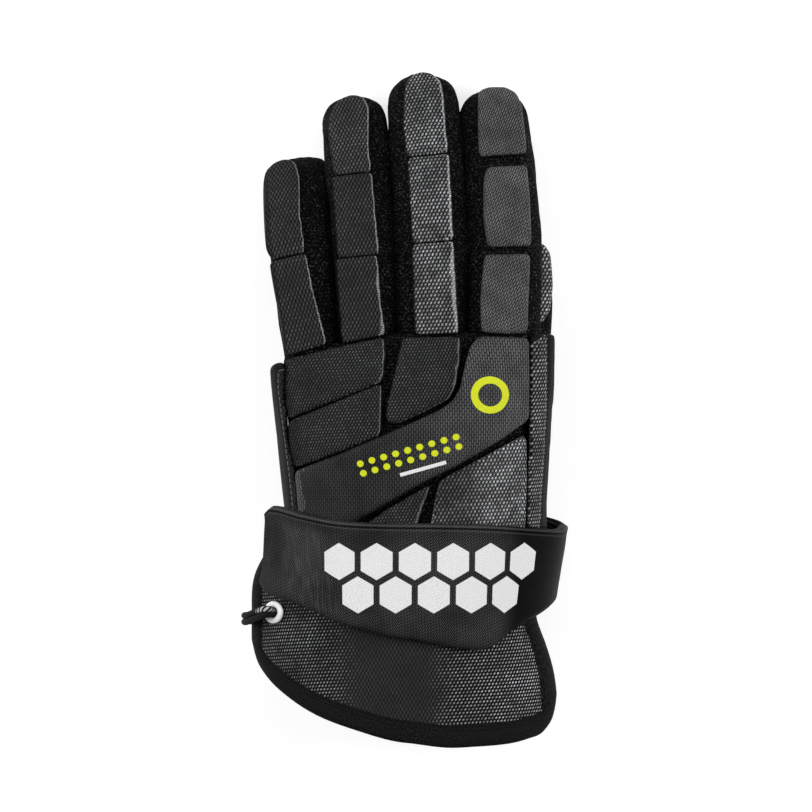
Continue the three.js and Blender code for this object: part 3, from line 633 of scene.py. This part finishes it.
# The CAD node's mesh, welded and with its triangles joined, then smoothed by subdivision and grown
def smoothCopy(node, levels, grow=(0.0, 0.0, 0.0)):
    holder = linked("holder", reworked(nodes[node].data.copy(), joinFlat))
    modifier = holder.modifiers.new("smooth", "SUBSURF")
    modifier.levels = modifier.render_levels = levels
    smoothed = evaluated(holder)
    bpy.data.objects.remove(holder)
    outward = normals(smoothed)
    sideways, upwards, downwards = grow
    outward[:, :2] *= sideways
    outward[:, 2] *= np.where(outward[:, 2] > 0, upwards, downwards)
    setPoints(smoothed, points(smoothed) + outward)
    return smoothed


# Smooth value of a table at any place between its rows
def tableAt(places, values, at):
    places, values = np.array(places, float), np.array(values, float)
    slopes = np.gradient(values, places)
    at = np.clip(at, places[0], places[-1])
    low = np.clip(np.searchsorted(places, at) - 1, 0, len(places) - 2)
    gap = places[low + 1] - places[low]
    t = (at - places[low]) / gap
    start, end = values[low], values[low + 1]
    return (start * (2 * t**3 - 3 * t**2 + 1) + end * (3 * t**2 - 2 * t**3)
            + gap * (slopes[low] * (t**3 - 2 * t**2 + t) + slopes[low + 1] * (t**3 - t**2)))


def ovalAt(turn):
    side, rise = np.cos(turn), np.sin(turn)
    power = 2 / glove["squareness"]
    return np.sign(side) * np.abs(side) ** power, np.sign(rise) * np.abs(rise) ** power


def runningTotal(steps):
    return np.concatenate([[0], np.cumsum(steps)])


# How far along a line of points each of them lies
def lengthAlong(line):
    return runningTotal(np.linalg.norm(np.diff(line, axis=0), axis=1))


def unit(vectors):
    return vectors / np.linalg.norm(vectors, axis=1)[:, None]


# Skin over a grid of points: each section is a closed ring, and the end sections are capped unless looped
def loft(name, grid, cloth, looped=False):
    sections, ring = grid.shape[:2]
    faces = []
    for i in range(sections if looped else sections - 1):
        after = (i + 1) % sections
        for j in range(ring):
            beside = (j + 1) % ring
            faces.append((i * ring + j, i * ring + beside, after * ring + beside, after * ring + j))
    if not looped:
        for first, order in ((0, 1), ((sections - 1) * ring, -1)):
            for j in range(ring // 2 - 1):
                far = ring - 1 - j
                faces.append(tuple(first + k for k in (j, far, far - 1, j + 1)[::order]))
    mesh = bpy.data.meshes.new(name)
    mesh.from_pydata((grid.reshape(-1, 3) + glove["shift"]).tolist(), [], faces)
    setCloth(reworked(mesh, faceOutward), cloth.reshape(-1, 3))
    return mesh


# The fingers' lines and the hand's arch, which the cloth's places follow

fingers = {
    "pinky": {"base": (-32.6, 9.0, 66), "middle": (-36.9, 23.5, 60), "tip": (-38.6, 36.5, 9)},
    "ring": {"base": (-14.0, 10.0, 68), "middle": (-14.9, 25.0, 62), "tip": (-18.8, 46.0, 10.5)},
    "middle": {"base": (8.8, 10.6, 69), "middle": (8.6, 26.0, 63), "tip": (5.6, 49.4, 10.5)},
    "index": {"base": (34.0, 10.8, 68), "middle": (34.5, 25.0, 62), "tip": (30.0, 47.0, 10.5)},
    "thumb": {"base": (33.0, -7.0, 27), "middle": (41.0, 8.0, 19), "tip": (42.3, 23.8, 18)},
}
fingerSpan = {"from": -0.25, "to": 1.15, "count": 80}  # the line goes on past the finger's base and tip
hand = {"centre": 2.5, "halfWidth": 43.0, "top": 97, "bottom": 3, "middle": 50, "padding": 0.006}
archSteps = 400  # from one side of the hand's arch to its top


def fingerLine(name):
    ends = [np.array([across(x), along(y), upward(z)]) + glove["shift"]
            for x, y, z in (fingers[name][key] for key in ("base", "middle", "tip"))]
    first, second = np.linalg.norm(ends[1] - ends[0]), np.linalg.norm(ends[2] - ends[1])
    bend = first / (first + second)
    t = np.linspace(fingerSpan["from"], fingerSpan["to"], fingerSpan["count"])[:, None]
    return (ends[0] * (t - bend) * (t - 1) / bend + ends[1] * t * (t - 1) / (bend * (bend - 1))
            + ends[2] * t * (t - bend) / (1 - bend))


# Where points lie in a finger's own frame: to its side, along it and above its line
def onFinger(name, places):
    line = fingerLine(name)
    lengths = lengthAlong(line)
    forward = unit(np.gradient(line, axis=0))
    right = unit(np.cross(forward, (0, 0, 1)))
    up = np.cross(right, forward)
    nearest = np.argmin(((places[:, None, :] - line[None]) ** 2).sum(2), axis=1)
    offset = places - line[nearest]
    dot = lambda axis: (offset * axis[nearest]).sum(1)
    return np.stack([dot(right), lengths[nearest] + dot(forward), dot(up)], 1), offset


# Where points lie on the hand: how far over its padded arch, along it and how high
def onHand(places):
    turn = np.linspace(-math.pi, math.pi, 2 * archSteps + 1)
    side, rise = ovalAt(math.pi / 2 - turn)
    halfWidth = across(hand["halfWidth"]) + hand["padding"]
    halfHeight = upward(hand["top"] - hand["bottom"]) / 2 + hand["padding"]
    reach = runningTotal(np.hypot(np.diff(side) * halfWidth, np.diff(rise) * halfHeight))
    centre = across(hand["centre"]) + glove["shift"][0]
    offset = (places - (centre, 0, upward(hand["middle"]))) * (1, 0, 1)
    polar = np.arctan2(offset[:, 0] / halfWidth, offset[:, 2] / halfHeight)
    over = np.interp(polar, np.arctan2(side, rise), reach - reach[archSteps]) + centre
    return np.stack([over, places[:, 1], places[:, 2]], 1), offset


# Padded pieces: remeshed, swollen by a cloth simulation and smoothed

cushions = {
    "voxel": {"finger": 0.0009, "hand": 0.0012},
    "grow": 0.0002,
    "stretch": {"pad": (0.0002, 0.0002), "side": (0.0007, 0.0)},
    "soften": 0.5,
    "lastSoften": 0.25,
    "pressure": 3.0,
    "stiffness": 12.0,
    "shear": 4.0,
    "bending": 0.4,
    "mass": 0.12,
    "quality": 4,
    "frames": 20,
    "fill": 0.8,
}
# What each pad lies on, its finish and how far the simulation may move a point of it
pads = {
    "pinky_tip_pad": ("pinky", "paintedDimWeave", 0.0014),
    "pinky_base_pad": ("pinky", "paintedDimWeave", 0.0014),
    "ring_tip_pad": ("ring", "ringTipWeave", 0.0014),
    "ring_middle_pad": ("ring", "paintedDimWeave", 0.0014),
    "ring_base_pad": ("ring", "paintedDimWeave", 0.0014),
    "middle_tip_pad": ("middle", "paintedLitWeave", 0.0014),
    "middle_middle_pad": ("middle", "paintedLitWeave", 0.0014),
    "middle_base_pad": ("middle", "paintedLitWeave", 0.0014),
    "index_tip_pad": ("index", "indexTwill", 0.0016),
    "index_middle_pad": ("index", "indexTwill", 0.0016),
    "index_base_pad": ("index", "indexTwill", 0.0016),
    "thumb_pad": ("thumb", "thumbPadWeave", 0.0012),
    "outer_back_pad_upper": ("hand", "backWeave", 0.0016),
    "outer_back_pad_lower": ("hand", "backWeave", 0.0016),
    "centre_back_pad": ("hand", "backWeave", 0.0016),
    "diagonal_back_pad": ("hand", "padTwill", 0.0016),
    "lower_back_pad_right": ("hand", "panelWeave", 0.0016),
    "lower_back_pad_left": ("hand", "backWeave", 0.0014),
    "pinky_side_panel": ("side", "pinkyPanelWeave", 0.0008),
    "thumb_side_panel": ("side", "thumbPanelWeave", 0.0008),
}


def soften(holder, factor):
    modifier = holder.modifiers.new("soften", "SMOOTH")
    modifier.iterations = 1
    modifier.factor = factor


def remeshed(node, carrier):
    mesh = nodes[node].data.copy()
    places = points(mesh)
    low, high = places.min(0), places.max(0)
    middle, half = (low + high) / 2, (high - low) / 2
    stretch = cushions["stretch"]["side" if carrier == "side" else "pad"]
    setPoints(mesh, middle + (places - middle) * (1 + np.array([*stretch, 0]) / half))
    holder = linked(node + "_cushion", reworked(mesh, weld))
    grid = holder.modifiers.new("grid", "REMESH")
    grid.mode = "VOXEL"
    grid.voxel_size = cushions["voxel"]["finger" if carrier in fingers else "hand"]
    soften(holder, cushions["soften"])
    holder.data = evaluated(holder)
    holder.modifiers.clear()
    holder.data.update()
    return holder


# The side panels' outer edges, which their tape follows: the thumb's side is 1 and the pinky's -1
sideEdges = {
    1: [(44.2, 10.6), (47.7, 11.7), (50.5, 11.8), (51.9, 10.7), (51.9, 1.2), (51.2, -6.2),
        (50.2, -12.1), (49.4, -18.6)],
    -1: [(-42.6, 6.8), (-45.6, 6.7), (-47.7, 5.8), (-47.7, 2.7), (-45.9, -3.2), (-43.4, -11.4),
         (-41.7, -18.6)],
}


# Where points lie on a side panel: as on the hand, with how far in from the panel's edge for the height
def onSide(places):
    local, offset = onHand(places)
    edge = np.array(sideEdges[1 if places[:, 0].mean() > 0 else -1])
    edge = np.stack([across(edge[:, 0]), along(edge[:, 1])], 1) + glove["shift"][:2]
    inward = np.full(len(places), 1.0)
    for start, end in zip(edge[:-1], edge[1:]):
        step = end - start
        share = np.clip(((places[:, :2] - start) @ step) / (step @ step), 0, 1)
        inward = np.minimum(inward, np.linalg.norm(places[:, :2] - start - share[:, None] * step, axis=1))
    local[:, 2] = inward
    return local, offset


def padPlaces(carrier, places):
    kinds = {"hand": onHand, "side": onSide}
    return kinds[carrier](places) if carrier in kinds else onFinger(carrier, places)


def swell(holder, carrier):
    mesh = holder.data
    rest = points(mesh) + normals(mesh) * cushions["grow"]
    setPoints(mesh, rest)
    _, offset = padPlaces(carrier, rest)
    inner = (normals(mesh) * offset).sum(1) < 0
    group = holder.vertex_groups.new(name="sewnDown")
    group.add([int(i) for i in np.flatnonzero(inner)], 1.0, "REPLACE")
    cloth = holder.modifiers.new("swell", "CLOTH")
    settings = cloth.settings
    settings.quality = cushions["quality"]
    settings.mass = cushions["mass"]
    settings.tension_stiffness = settings.compression_stiffness = cushions["stiffness"]
    settings.shear_stiffness = cushions["shear"]
    settings.bending_stiffness = cushions["bending"]
    settings.use_pressure = True
    settings.uniform_pressure_force = cushions["pressure"]
    settings.vertex_group_mass = group.name
    settings.effector_weights.gravity = 0
    cloth.collision_settings.use_collision = False
    cloth.point_cache.frame_start = 1
    cloth.point_cache.frame_end = cushions["frames"]
    return rest


def settle(holder, rest, cap):
    swollen = evaluated(holder)
    move = points(swollen) - rest
    length = np.linalg.norm(move, axis=1)[:, None]
    move *= np.minimum(1, cap / np.maximum(length, 1e-9))
    holder.modifiers.clear()
    holder.vertex_groups.clear()
    setPoints(holder.data, rest + move)
    bpy.data.meshes.remove(swollen)


curl = {"reach": 0.009, "from": 0.42, "depth": 0.017}


# A tip pad's front edge curls under, into the stall's nose
def curledUnder(mesh):
    places = points(mesh)
    front = np.clip(1 - (places[:, 1].max() - places[:, 1]) / curl["reach"], 0, 1)
    facing = places[front > 0.5]
    top, bottom = facing[:, 2].max(), facing[:, 2].min()
    low = np.clip((top - (top - bottom) * curl["from"] - places[:, 2]) / (top - bottom), 0, 1)
    places[:, 1] -= front * low ** 2 * curl["depth"]
    setPoints(mesh, places)


def makeCushions():
    holders, rests = {}, {}
    for node, (carrier, _, _) in pads.items():
        holders[node] = remeshed(node, carrier)
        rests[node] = swell(holders[node], carrier)
    print("cushions are remeshed:", sum(len(h.data.vertices) for h in holders.values()), "points")
    for step in range(1, cushions["frames"] + 1):
        scene.frame_set(step)
    for node, rest in rests.items():
        settle(holders[node], rest, pads[node][2])
    scene.frame_set(1)
    for node, (carrier, finish, _) in pads.items():
        holder = holders[node]
        soften(holder, cushions["lastSoften"])
        mesh = evaluated(holder)
        bpy.data.objects.remove(holder)
        local, _ = padPlaces(carrier, points(mesh))
        setCloth(mesh, local)
        if node.endswith("_tip_pad"):
            curledUnder(mesh)
        cushion = newPiece(node + "_cushion", mesh, finish, node)
        rounded = cushion.modifiers.new("rounded", "SUBSURF")
        rounded.levels = rounded.render_levels = 1
    print("cushions are swollen")


makeCushions()


# Stalls and the hand's shell: mesh cloth with soft creases

stallCloth = {
    "levels": 2,
    "grow": (0.0019, 0.001, 0.0005),
    "shellGrow": (0.0027, 0.0012, 0.0),
    "shellLow": {"top": 0.032, "fade": 0.008, "halfWidth": 0.06},  # where the shell narrows again
    "crease": 0.0008,
    "creaseSize": (130, 45, 130),
    "knuckles": ((-60, -45, -8, 60), (5.8, 7.1, 10.6, 10.9)),
    "mouth": {"reach": 0.0035, "tuck": 0.006, "drop": 0.001},
    "nose": {"reach": 0.012, "back": 0.0012},
    "pinkyTop": {"reach": 0.03, "halfWidth": 0.012, "rise": 0.0035},
}


# Creases of two sizes
def crumpled(mesh, depth, size):
    places, outward = points(mesh), normals(mesh)
    lift = np.array([noise.noise(Vector(place)) + 0.5 * noise.noise(Vector(place) * 2.3)
                     for place in places * size])
    setPoints(mesh, places + outward * (lift * depth)[:, None])


# A stall's mouth goes on under the shell, its nose stays behind the tip pad, and the pinky's right top rises
def tuckIn(mesh, name):
    places = points(mesh)
    mouth, nose, top = stallCloth["mouth"], stallCloth["nose"], stallCloth["pinkyTop"]
    shares, lengths = stallCloth["knuckles"]
    knuckle = along(np.interp(places[:, 0], across(shares), lengths))
    near = np.clip(1 - (places[:, 1] - knuckle) / mouth["reach"], 0, 1)
    fromTip = places[:, 1].max() - places[:, 1]
    atNose = np.clip(1 - fromTip / nose["reach"], 0, 1)
    if name == "pinky":
        right = np.clip((places[:, 0] - places[:, 0].mean()) / top["halfWidth"], 0, 1)
        places[:, 1] += np.clip(1 - fromTip / top["reach"], 0, 1) * right * top["rise"]
    places[:, 1] -= near * mouth["tuck"] + atNose * nose["back"]
    places[:, 2] -= near * mouth["drop"]
    setPoints(mesh, places)


def makeStalls():
    levels = stallCloth["levels"]
    for name in fingers:
        node = name + "_stall"
        mesh = smoothCopy(node, levels, stallCloth["grow"])
        if name != "thumb":
            tuckIn(mesh, name)
        setCloth(mesh, onFinger(name, points(mesh))[0])
        crumpled(mesh, stallCloth["crease"], stallCloth["creaseSize"])
        newPiece(node + "_cloth", mesh, "stallMesh", node)
    mesh = smoothCopy("hand_shell", levels, stallCloth["shellGrow"])
    places = points(mesh)
    narrow = stallCloth["shellLow"]
    low = np.clip((narrow["top"] - places[:, 2]) / narrow["fade"], 0, 1)
    places[:, 0] *= 1 - low * stallCloth["shellGrow"][0] / narrow["halfWidth"]
    setPoints(mesh, places)
    setCloth(mesh, onHand(points(mesh))[0])
    newPiece("hand_shell_cloth", mesh, "stallMesh", "hand_shell")
    mesh = smoothCopy("palm_panel", levels)
    setCloth(mesh, onHand(points(mesh))[0])
    newPiece("palm_panel_leather", mesh, "palmSuede", "palm_panel")


makeStalls()
print("stalls, shell and palm are made")


# Cuff, binding and strap, on the wrist's oval; turns are degrees round it from the thumb's side

cuff = {
    "along": (-50.0, -42.5, -38.5, -35.1, -31.4, -24.3, -19.4),
    "left": (53.8, 54.0, 54.2, 54.4, 54.4, 53.0, 46.5),
    "right": (53.4, 53.3, 51.9, 49.5, 46.3, 45.4, 45.5),
    "top": (128, 122, 119, 116, 113, 109, 105),
    "rimTurn": (20, 25, 32, 45, 70, 80, 90, 103, 120, 136, 150, 160, 168),
    "rimAlong": (-42.0, -45.3, -47.5, -48.9, -49.9, -50.0, -49.3, -47.6, -45.3, -42.5, -39.8, -37.3, -34.0),
    "turns": (20, 168),
    "springing": 23,
    "wall": 0.003,
    "tuck": 3,
    "columns": 110,
    "rows": 26,
    "underBinding": 0.6,
}
binding = {
    "wall": 0.0042,
    "width": 0.0085,
    "section": 14,
    "ends": (16, -15),
    "rows": (24, 14, 120),
    "tape": 0.0105,
    "proud": 0.0006,
    "clothLength": 0.45,
}
strap = {
    "turn": (-110, -70, -45, -25, 0, 16, 34, 50, 64, 82, 96, 109, 126, 141, 145, 148),
    "front": (-18.0, -17.2, -15.6, -16.4, -17.3, -17.9, -17.8, -17.5,
              -17.2, -17.0, -16.9, -16.6, -15.5, -14.5, -14.5, -15.2),
    "back": (-28.7, -28.7, -28.7, -28.7, -28.7, -29.6, -31.1, -32.9,
             -35.4, -34.8, -33.2, -31.6, -28.9, -27.6, -27.2, -26.2),
    "along": (-35.4, -28.7, -24.3, -19.0, -14.5),
    "left": (56.0, 55.5, 54.5, 53.6, 53.0),
    "right": (49.0, 49.8, 51.4, 53.4, 53.6),
    "padTop": ((-25.5, -19.5, -14.0), (92, 94, 97)),
    "padThickness": 0.0075,
    "wall": 0.0045,
    "gap": 0.0003,
    "columns": 190,
    "rows": 24,
    "edge": {"share": 0.07, "outer": 0.0016, "inner": 0.0012},
    "piping": {"first": 0.035, "second": 0.1, "width": 0.016, "height": 0.0009, "turn": -65, "fade": 25},
    "slack": {"turn": 128, "width": 16, "height": 0.0006},
}


def shareAlong(y):
    return y / glove["length"] * 100


def wristPoint(turn, y, halfWidth, top, bottom, growth):
    side, rise = ovalAt(np.radians(turn))
    springing = upward(cuff["springing"])
    height = np.where(rise > 0, top + growth - springing, springing - bottom + growth)
    return np.stack([side * (halfWidth + growth), y + 0 * side, springing + rise * height], -1)


# Its tables give the cuff's width at its two ends' turns, where the oval is narrower than at its widest
def cuffHalfWidth(turn, y):
    right, left = (across(tableAt(cuff["along"], cuff[key], shareAlong(y))) for key in ("right", "left"))
    rightSide, leftSide = (abs(ovalAt(np.radians(edge))[0]) for edge in cuff["turns"])
    return np.where(np.abs(turn) > 90, left / leftSide, right / rightSide)


def cuffTop(y):
    return upward(tableAt(cuff["along"], cuff["top"], shareAlong(y)))


def cuffPoint(turn, y, growth):
    return wristPoint(turn, y, cuffHalfWidth(turn, y), cuffTop(y), 0, growth)


def rimAt(turn):
    return along(tableAt(cuff["rimTurn"], cuff["rimAlong"], turn))


def strapPoint(turn, y, growth):
    share = shareAlong(y)
    clear = (binding["wall"] - cuff["wall"]) / 2 + strap["gap"]
    right, left = (across(tableAt(strap["along"], strap[key], share)) for key in ("right", "left"))
    halfWidth = np.maximum(np.where(np.abs(turn) > 90, left, right), cuffHalfWidth(turn, y) + clear)
    padTop = upward(tableAt(*strap["padTop"], share)) + strap["padThickness"] + strap["gap"]
    top = np.maximum(cuffTop(y) + clear, padTop)
    return wristPoint(turn, y, halfWidth, top, strap["wall"], growth)


# How far round a row its points lie from the top of the arch, positive towards the first one
def overArch(row, turn):
    reach = lengthAlong(row)
    return np.interp(90, turn, reach) - reach


def bandLoft(name, turn, frontAt, backAt, pointAt, outerAt, innerAt, rows):
    share = np.linspace(0, 1, rows + 1)
    front, back = frontAt(turn)[:, None], backAt(turn)[:, None]
    y = front + (back - front) * share
    turns = turn[:, None] + 0 * y
    outer = pointAt(turns, y, outerAt(turns, share + 0 * y))
    inner = pointAt(turns, y, innerAt(turns, share + 0 * y))
    reach = np.stack([overArch(outer[:, j], turn) for j in range(rows + 1)], 1)
    cloth = np.stack([reach, y + glove["shift"][1], np.abs(y - front)], -1)
    grid = np.concatenate([outer, inner[:, ::-1]], 1)
    return loft(name, grid, np.concatenate([cloth, cloth[:, ::-1]], 1))


eyelet = {
    "turn": 142.4,
    "along": -30.2,
    "rim": 0.00625,
    "hole": 0.0028,
    "flange": 0.0015,
    "bore": 0.0034,
    "reach": 0.006,
    "lip": 0.0003,
    "crown": (0.0006, 0.0013),
    "dip": 0.0005,
    "round": (-20, 200, 12),
    "sides": 56,
    "proud": 0.0004,
    "squash": 0.8,
}


# The eyelet's middle on the cuff and the way it faces, from one degree and one millimetre to each side
def eyeletSeat():
    turn, y = eyelet["turn"], float(along(eyelet["along"]))
    at = lambda t, length: cuffPoint(np.array(t), np.array(length), 0.0)
    around = at(turn - 1, y) - at(turn + 1, y)
    lengthwise = at(turn, y + 0.001) - at(turn, y - 0.001)
    outward = np.cross(around, lengthwise)
    return Vector(at(turn, y)), Vector(outward / np.linalg.norm(outward))


seatCentre, seatNormal = eyeletSeat()


def boreEyelet(shape):
    centre = seatCentre + Vector(glove["shift"])
    cut = []
    for face in shape.faces:
        offset = face.calc_center_median() - centre
        height = offset.dot(seatNormal)
        if abs(height) < eyelet["reach"] and (offset - seatNormal * height).length < eyelet["bore"]:
            cut.append(face)
    bmesh.ops.delete(shape, geom=cut, context="FACES")
    bmesh.ops.bridge_loops(shape, edges=[edge for edge in shape.edges if edge.is_boundary])
    faceOutward(shape)


def makeCuff():
    width, tuck = binding["width"], cuff["tuck"]
    inset = math.degrees(width / glove["height"])
    neck = along(cuff["along"][-1])
    turn = np.linspace(cuff["turns"][0] + inset - tuck, cuff["turns"][1] - inset + tuck, cuff["columns"])
    mesh = bandLoft("cuff_flare_cloth", turn, lambda t: neck + 0 * t,
                    lambda t: rimAt(t) + width * cuff["underBinding"],
                    cuffPoint, lambda t, s: 0 * t, lambda t, s: 0 * t - cuff["wall"], cuff["rows"])
    newPiece("cuff_flare_cloth", mesh, "cuffWeave", "cuff_flare")
    reworked(mesh, boreEyelet)


# Path of the binding: places on the outer edge and, a tape's width further in, on the cloth
def bindingPath():
    width = binding["tape"]
    neck = float(along(cuff["along"][-1]))
    rim = lambda turn: float(rimAt(turn))
    upRows, cornerRows, rimRows = binding["rows"]
    sides = []
    for edge, inward in zip(cuff["turns"], binding["ends"]):
        inner = edge + inward
        up = [(edge, rim(edge) * (1 - s) + neck * s, inner, (rim(inner) + width) * (1 - s) + neck * s)
              for s in np.linspace(1, 0, upRows)]
        corner = [(turn, rim(turn), inner, rim(inner) + width)
                  for turn in np.linspace(edge, inner, cornerRows)[1:-1]]
        sides.append(up + corner)
    middle = [(turn, rim(turn), turn, rim(turn) + width)
              for turn in np.linspace(sides[0][-1][2], sides[1][-1][2], rimRows)]
    return np.array(sides[0] + middle + sides[1][::-1])


def bindingPoint(path, inward, growth):
    turn = path[:, 0] + (path[:, 2] - path[:, 0]) * inward
    y = path[:, 1] + (path[:, 3] - path[:, 1]) * inward
    return cuffPoint(turn, y, growth)


def makeBinding():
    path = bindingPath()
    reach = np.linspace(0, binding["clothLength"], len(path))
    turns = np.linspace(0, 2 * math.pi, binding["section"], endpoint=False) + math.pi / binding["section"]
    grid, cloth = [], []
    for turn in turns:
        side, rise = ovalAt(np.array(turn))
        inward = 0.5 - 0.5 * float(side)
        growth = -cuff["wall"] / 2 + binding["proud"] + float(rise) * binding["wall"] / 2
        grid.append(bindingPoint(path, inward, growth))
        cloth.append(np.stack([0 * reach + inward * binding["tape"], reach, 0 * reach], 1))
    mesh = loft("cuff_binding_tape", np.stack(grid, 1), np.stack(cloth, 1))
    newPiece("cuff_binding_tape", mesh, "cuffTape", "cuff_binding")


# The ring's section, by distance from its axis and height over the cuff
def eyeletProfile():
    rim, hole, flange, lip = (eyelet[part] for part in ("rim", "hole", "flange", "lip"))
    depth, throat = cuff["wall"] + flange / 2, hole + flange / 2
    low, rise = eyelet["crown"]
    profile = [(hole, -depth), (throat, -depth), (throat, lip), (rim - 0.0002, lip)]
    for turn in np.radians(np.linspace(*eyelet["round"])):
        r = (rim + hole) / 2 + math.cos(turn) * (rim - hole) / 2
        profile.append((r, low + max(0, math.sin(turn)) * rise))
    return profile + [(hole, -eyelet["dip"])]


def makeEyelet():
    facing = seatNormal.to_track_quat("Z", "Y").to_matrix()
    profile = eyeletProfile()
    grid = []
    for turn in np.linspace(0, 2 * math.pi, eyelet["sides"], endpoint=False):
        spoke = Vector((math.cos(turn) * eyelet["squash"], math.sin(turn), 0))
        section = [spoke * r + Vector((0, 0, z + eyelet["proud"])) for r, z in profile]
        grid.append([list(seatCentre + facing @ place) for place in section])
    grid = np.array(grid)
    mesh = loft("cuff_eyelet_ring", grid, 0 * grid, looped=True)
    newPiece("cuff_eyelet_ring", mesh, "eyeletPlastic", "cuff_eyelet")


lace = {"diameter": 0.003, "cords": 2, "spread": 0.0028, "radius": 0.00145, "sides": 14, "steps": 150}


# Smooth curve through a few places, as many points as asked
def throughPlaces(places, count):
    places = np.array(places)
    knots = runningTotal(np.linalg.norm(np.diff(places, axis=0), axis=1) ** 0.5)
    at = np.linspace(0, knots[-1], count * 4)
    fine = np.stack([tableAt(knots, places[:, k], at) for k in range(3)], 1)
    reach = lengthAlong(fine)
    even = np.linspace(0, reach[-1], count)
    return np.stack([np.interp(even, reach, fine[:, k]) for k in range(3)], 1), even


# The lace's route: up through the eyelet, over the cuff's edge and back in under it
def lacePlaces():
    d = lace["diameter"]
    y = seatCentre.y
    overCuff = (binding["wall"] - cuff["wall"]) / 2
    edge = Vector(cuffPoint(np.array(float(cuff["turns"][1])), np.array(y), overCuff))
    through, clear = cuff["wall"] + d, d / 2 + 0.0003
    beside = lambda outwards, height: Vector((edge.x - outwards, y - d, edge.z + height))
    return [
        seatCentre - seatNormal * through,
        seatCentre,
        seatCentre + seatNormal * through,
        beside(clear, d * 4),
        beside(clear + d * 0.2, d * 0.6),
        beside(-d * 0.4, -clear - d * 0.6),
        beside(-d * 2.2, -d * 0.7),
    ]


# Two directions across a line, at right angles and without twist
def frameAlong(line):
    forward = unit(np.gradient(line, axis=0))
    side = np.cross(forward[0], (0.3, 0.2, 1.0))
    sides = []
    for step in forward:
        side = side - step * side.dot(step)
        side /= np.linalg.norm(side)
        sides.append(side)
    sides = np.array(sides)
    return sides, np.cross(forward, sides)


def tube(line, radius, sides, tag):
    first, second = frameAlong(line)
    reach = lengthAlong(line)
    grid, cloth = [], []
    for turn in np.linspace(0, 2 * math.pi, sides, endpoint=False):
        grid.append(line + (first * math.cos(turn) + second * math.sin(turn)) * radius)
        cloth.append(np.stack([0 * reach + turn * radius, reach, 0 * reach + tag], 1))
    return np.stack(grid, 1), np.stack(cloth, 1)


def joined(name, parts):
    meshes = [loft(name, grid, cloth) for grid, cloth in parts]
    shape = bmesh.new()
    for mesh in meshes:
        shape.from_mesh(mesh)
    whole = bpy.data.meshes.new(name)
    shape.to_mesh(whole)
    shape.free()
    return whole


def makeLace():
    line, reach = throughPlaces(lacePlaces(), lace["steps"])
    lengthwise = np.array([0.0, 1.0, 0.0])
    parts = []
    for cord in range(lace["cords"]):
        offset = (0.5 - cord) * lace["spread"] * np.clip(reach / reach[-1] * 4, 0.35, 1)
        parts.append(tube(line + lengthwise * offset[:, None], lace["radius"], lace["sides"], 0.001 * cord))
    newPiece("cuff_lace_strands", joined("cuff_lace_strands", parts), "laceCord", "cuff_lace")


def nearEdge(share):
    return np.clip(1 - np.minimum(share, 1 - share) / strap["edge"]["share"], 0, 1) ** 2


# The strap's outside: rounded edges, two lines of piping on the upper part, and waves where it is slack
def strapOuter(turn, share):
    piping, slack = strap["piping"], strap["slack"]
    upper = np.clip((turn - piping["turn"]) / piping["fade"], 0, 1)
    ridge = lambda at: np.exp(-((share - at) / piping["width"]) ** 2)
    ridges = piping["height"] * upper * (ridge(piping["first"]) + 0.8 * ridge(piping["second"]))
    loose = np.exp(-((turn - slack["turn"]) / slack["width"]) ** 2)
    ripples = np.sin(turn * 0.62 + share * 5 + 1.6 * np.sin(share * 7))
    waves = loose * slack["height"] * ripples * np.sin(share * math.pi)
    return strap["wall"] - nearEdge(share) * strap["edge"]["outer"] + ridges + waves


def strapInner(turn, share):
    return nearEdge(share) * strap["edge"]["inner"]


def makeStrap():
    turn = np.linspace(strap["turn"][0], strap["turn"][-1], strap["columns"])
    mesh = bandLoft("wrist_strap_leather", turn,
                    lambda t: along(tableAt(strap["turn"], strap["front"], t)),
                    lambda t: along(tableAt(strap["turn"], strap["back"], t)),
                    strapPoint, strapOuter, strapInner, strap["rows"])
    newPiece("wrist_strap_leather", mesh, "strapTwill", "wrist_strap")


makeCuff()
makeBinding()
makeEyelet()
makeLace()
makeStrap()
print("cuff, binding, eyelet, lace and strap are made")
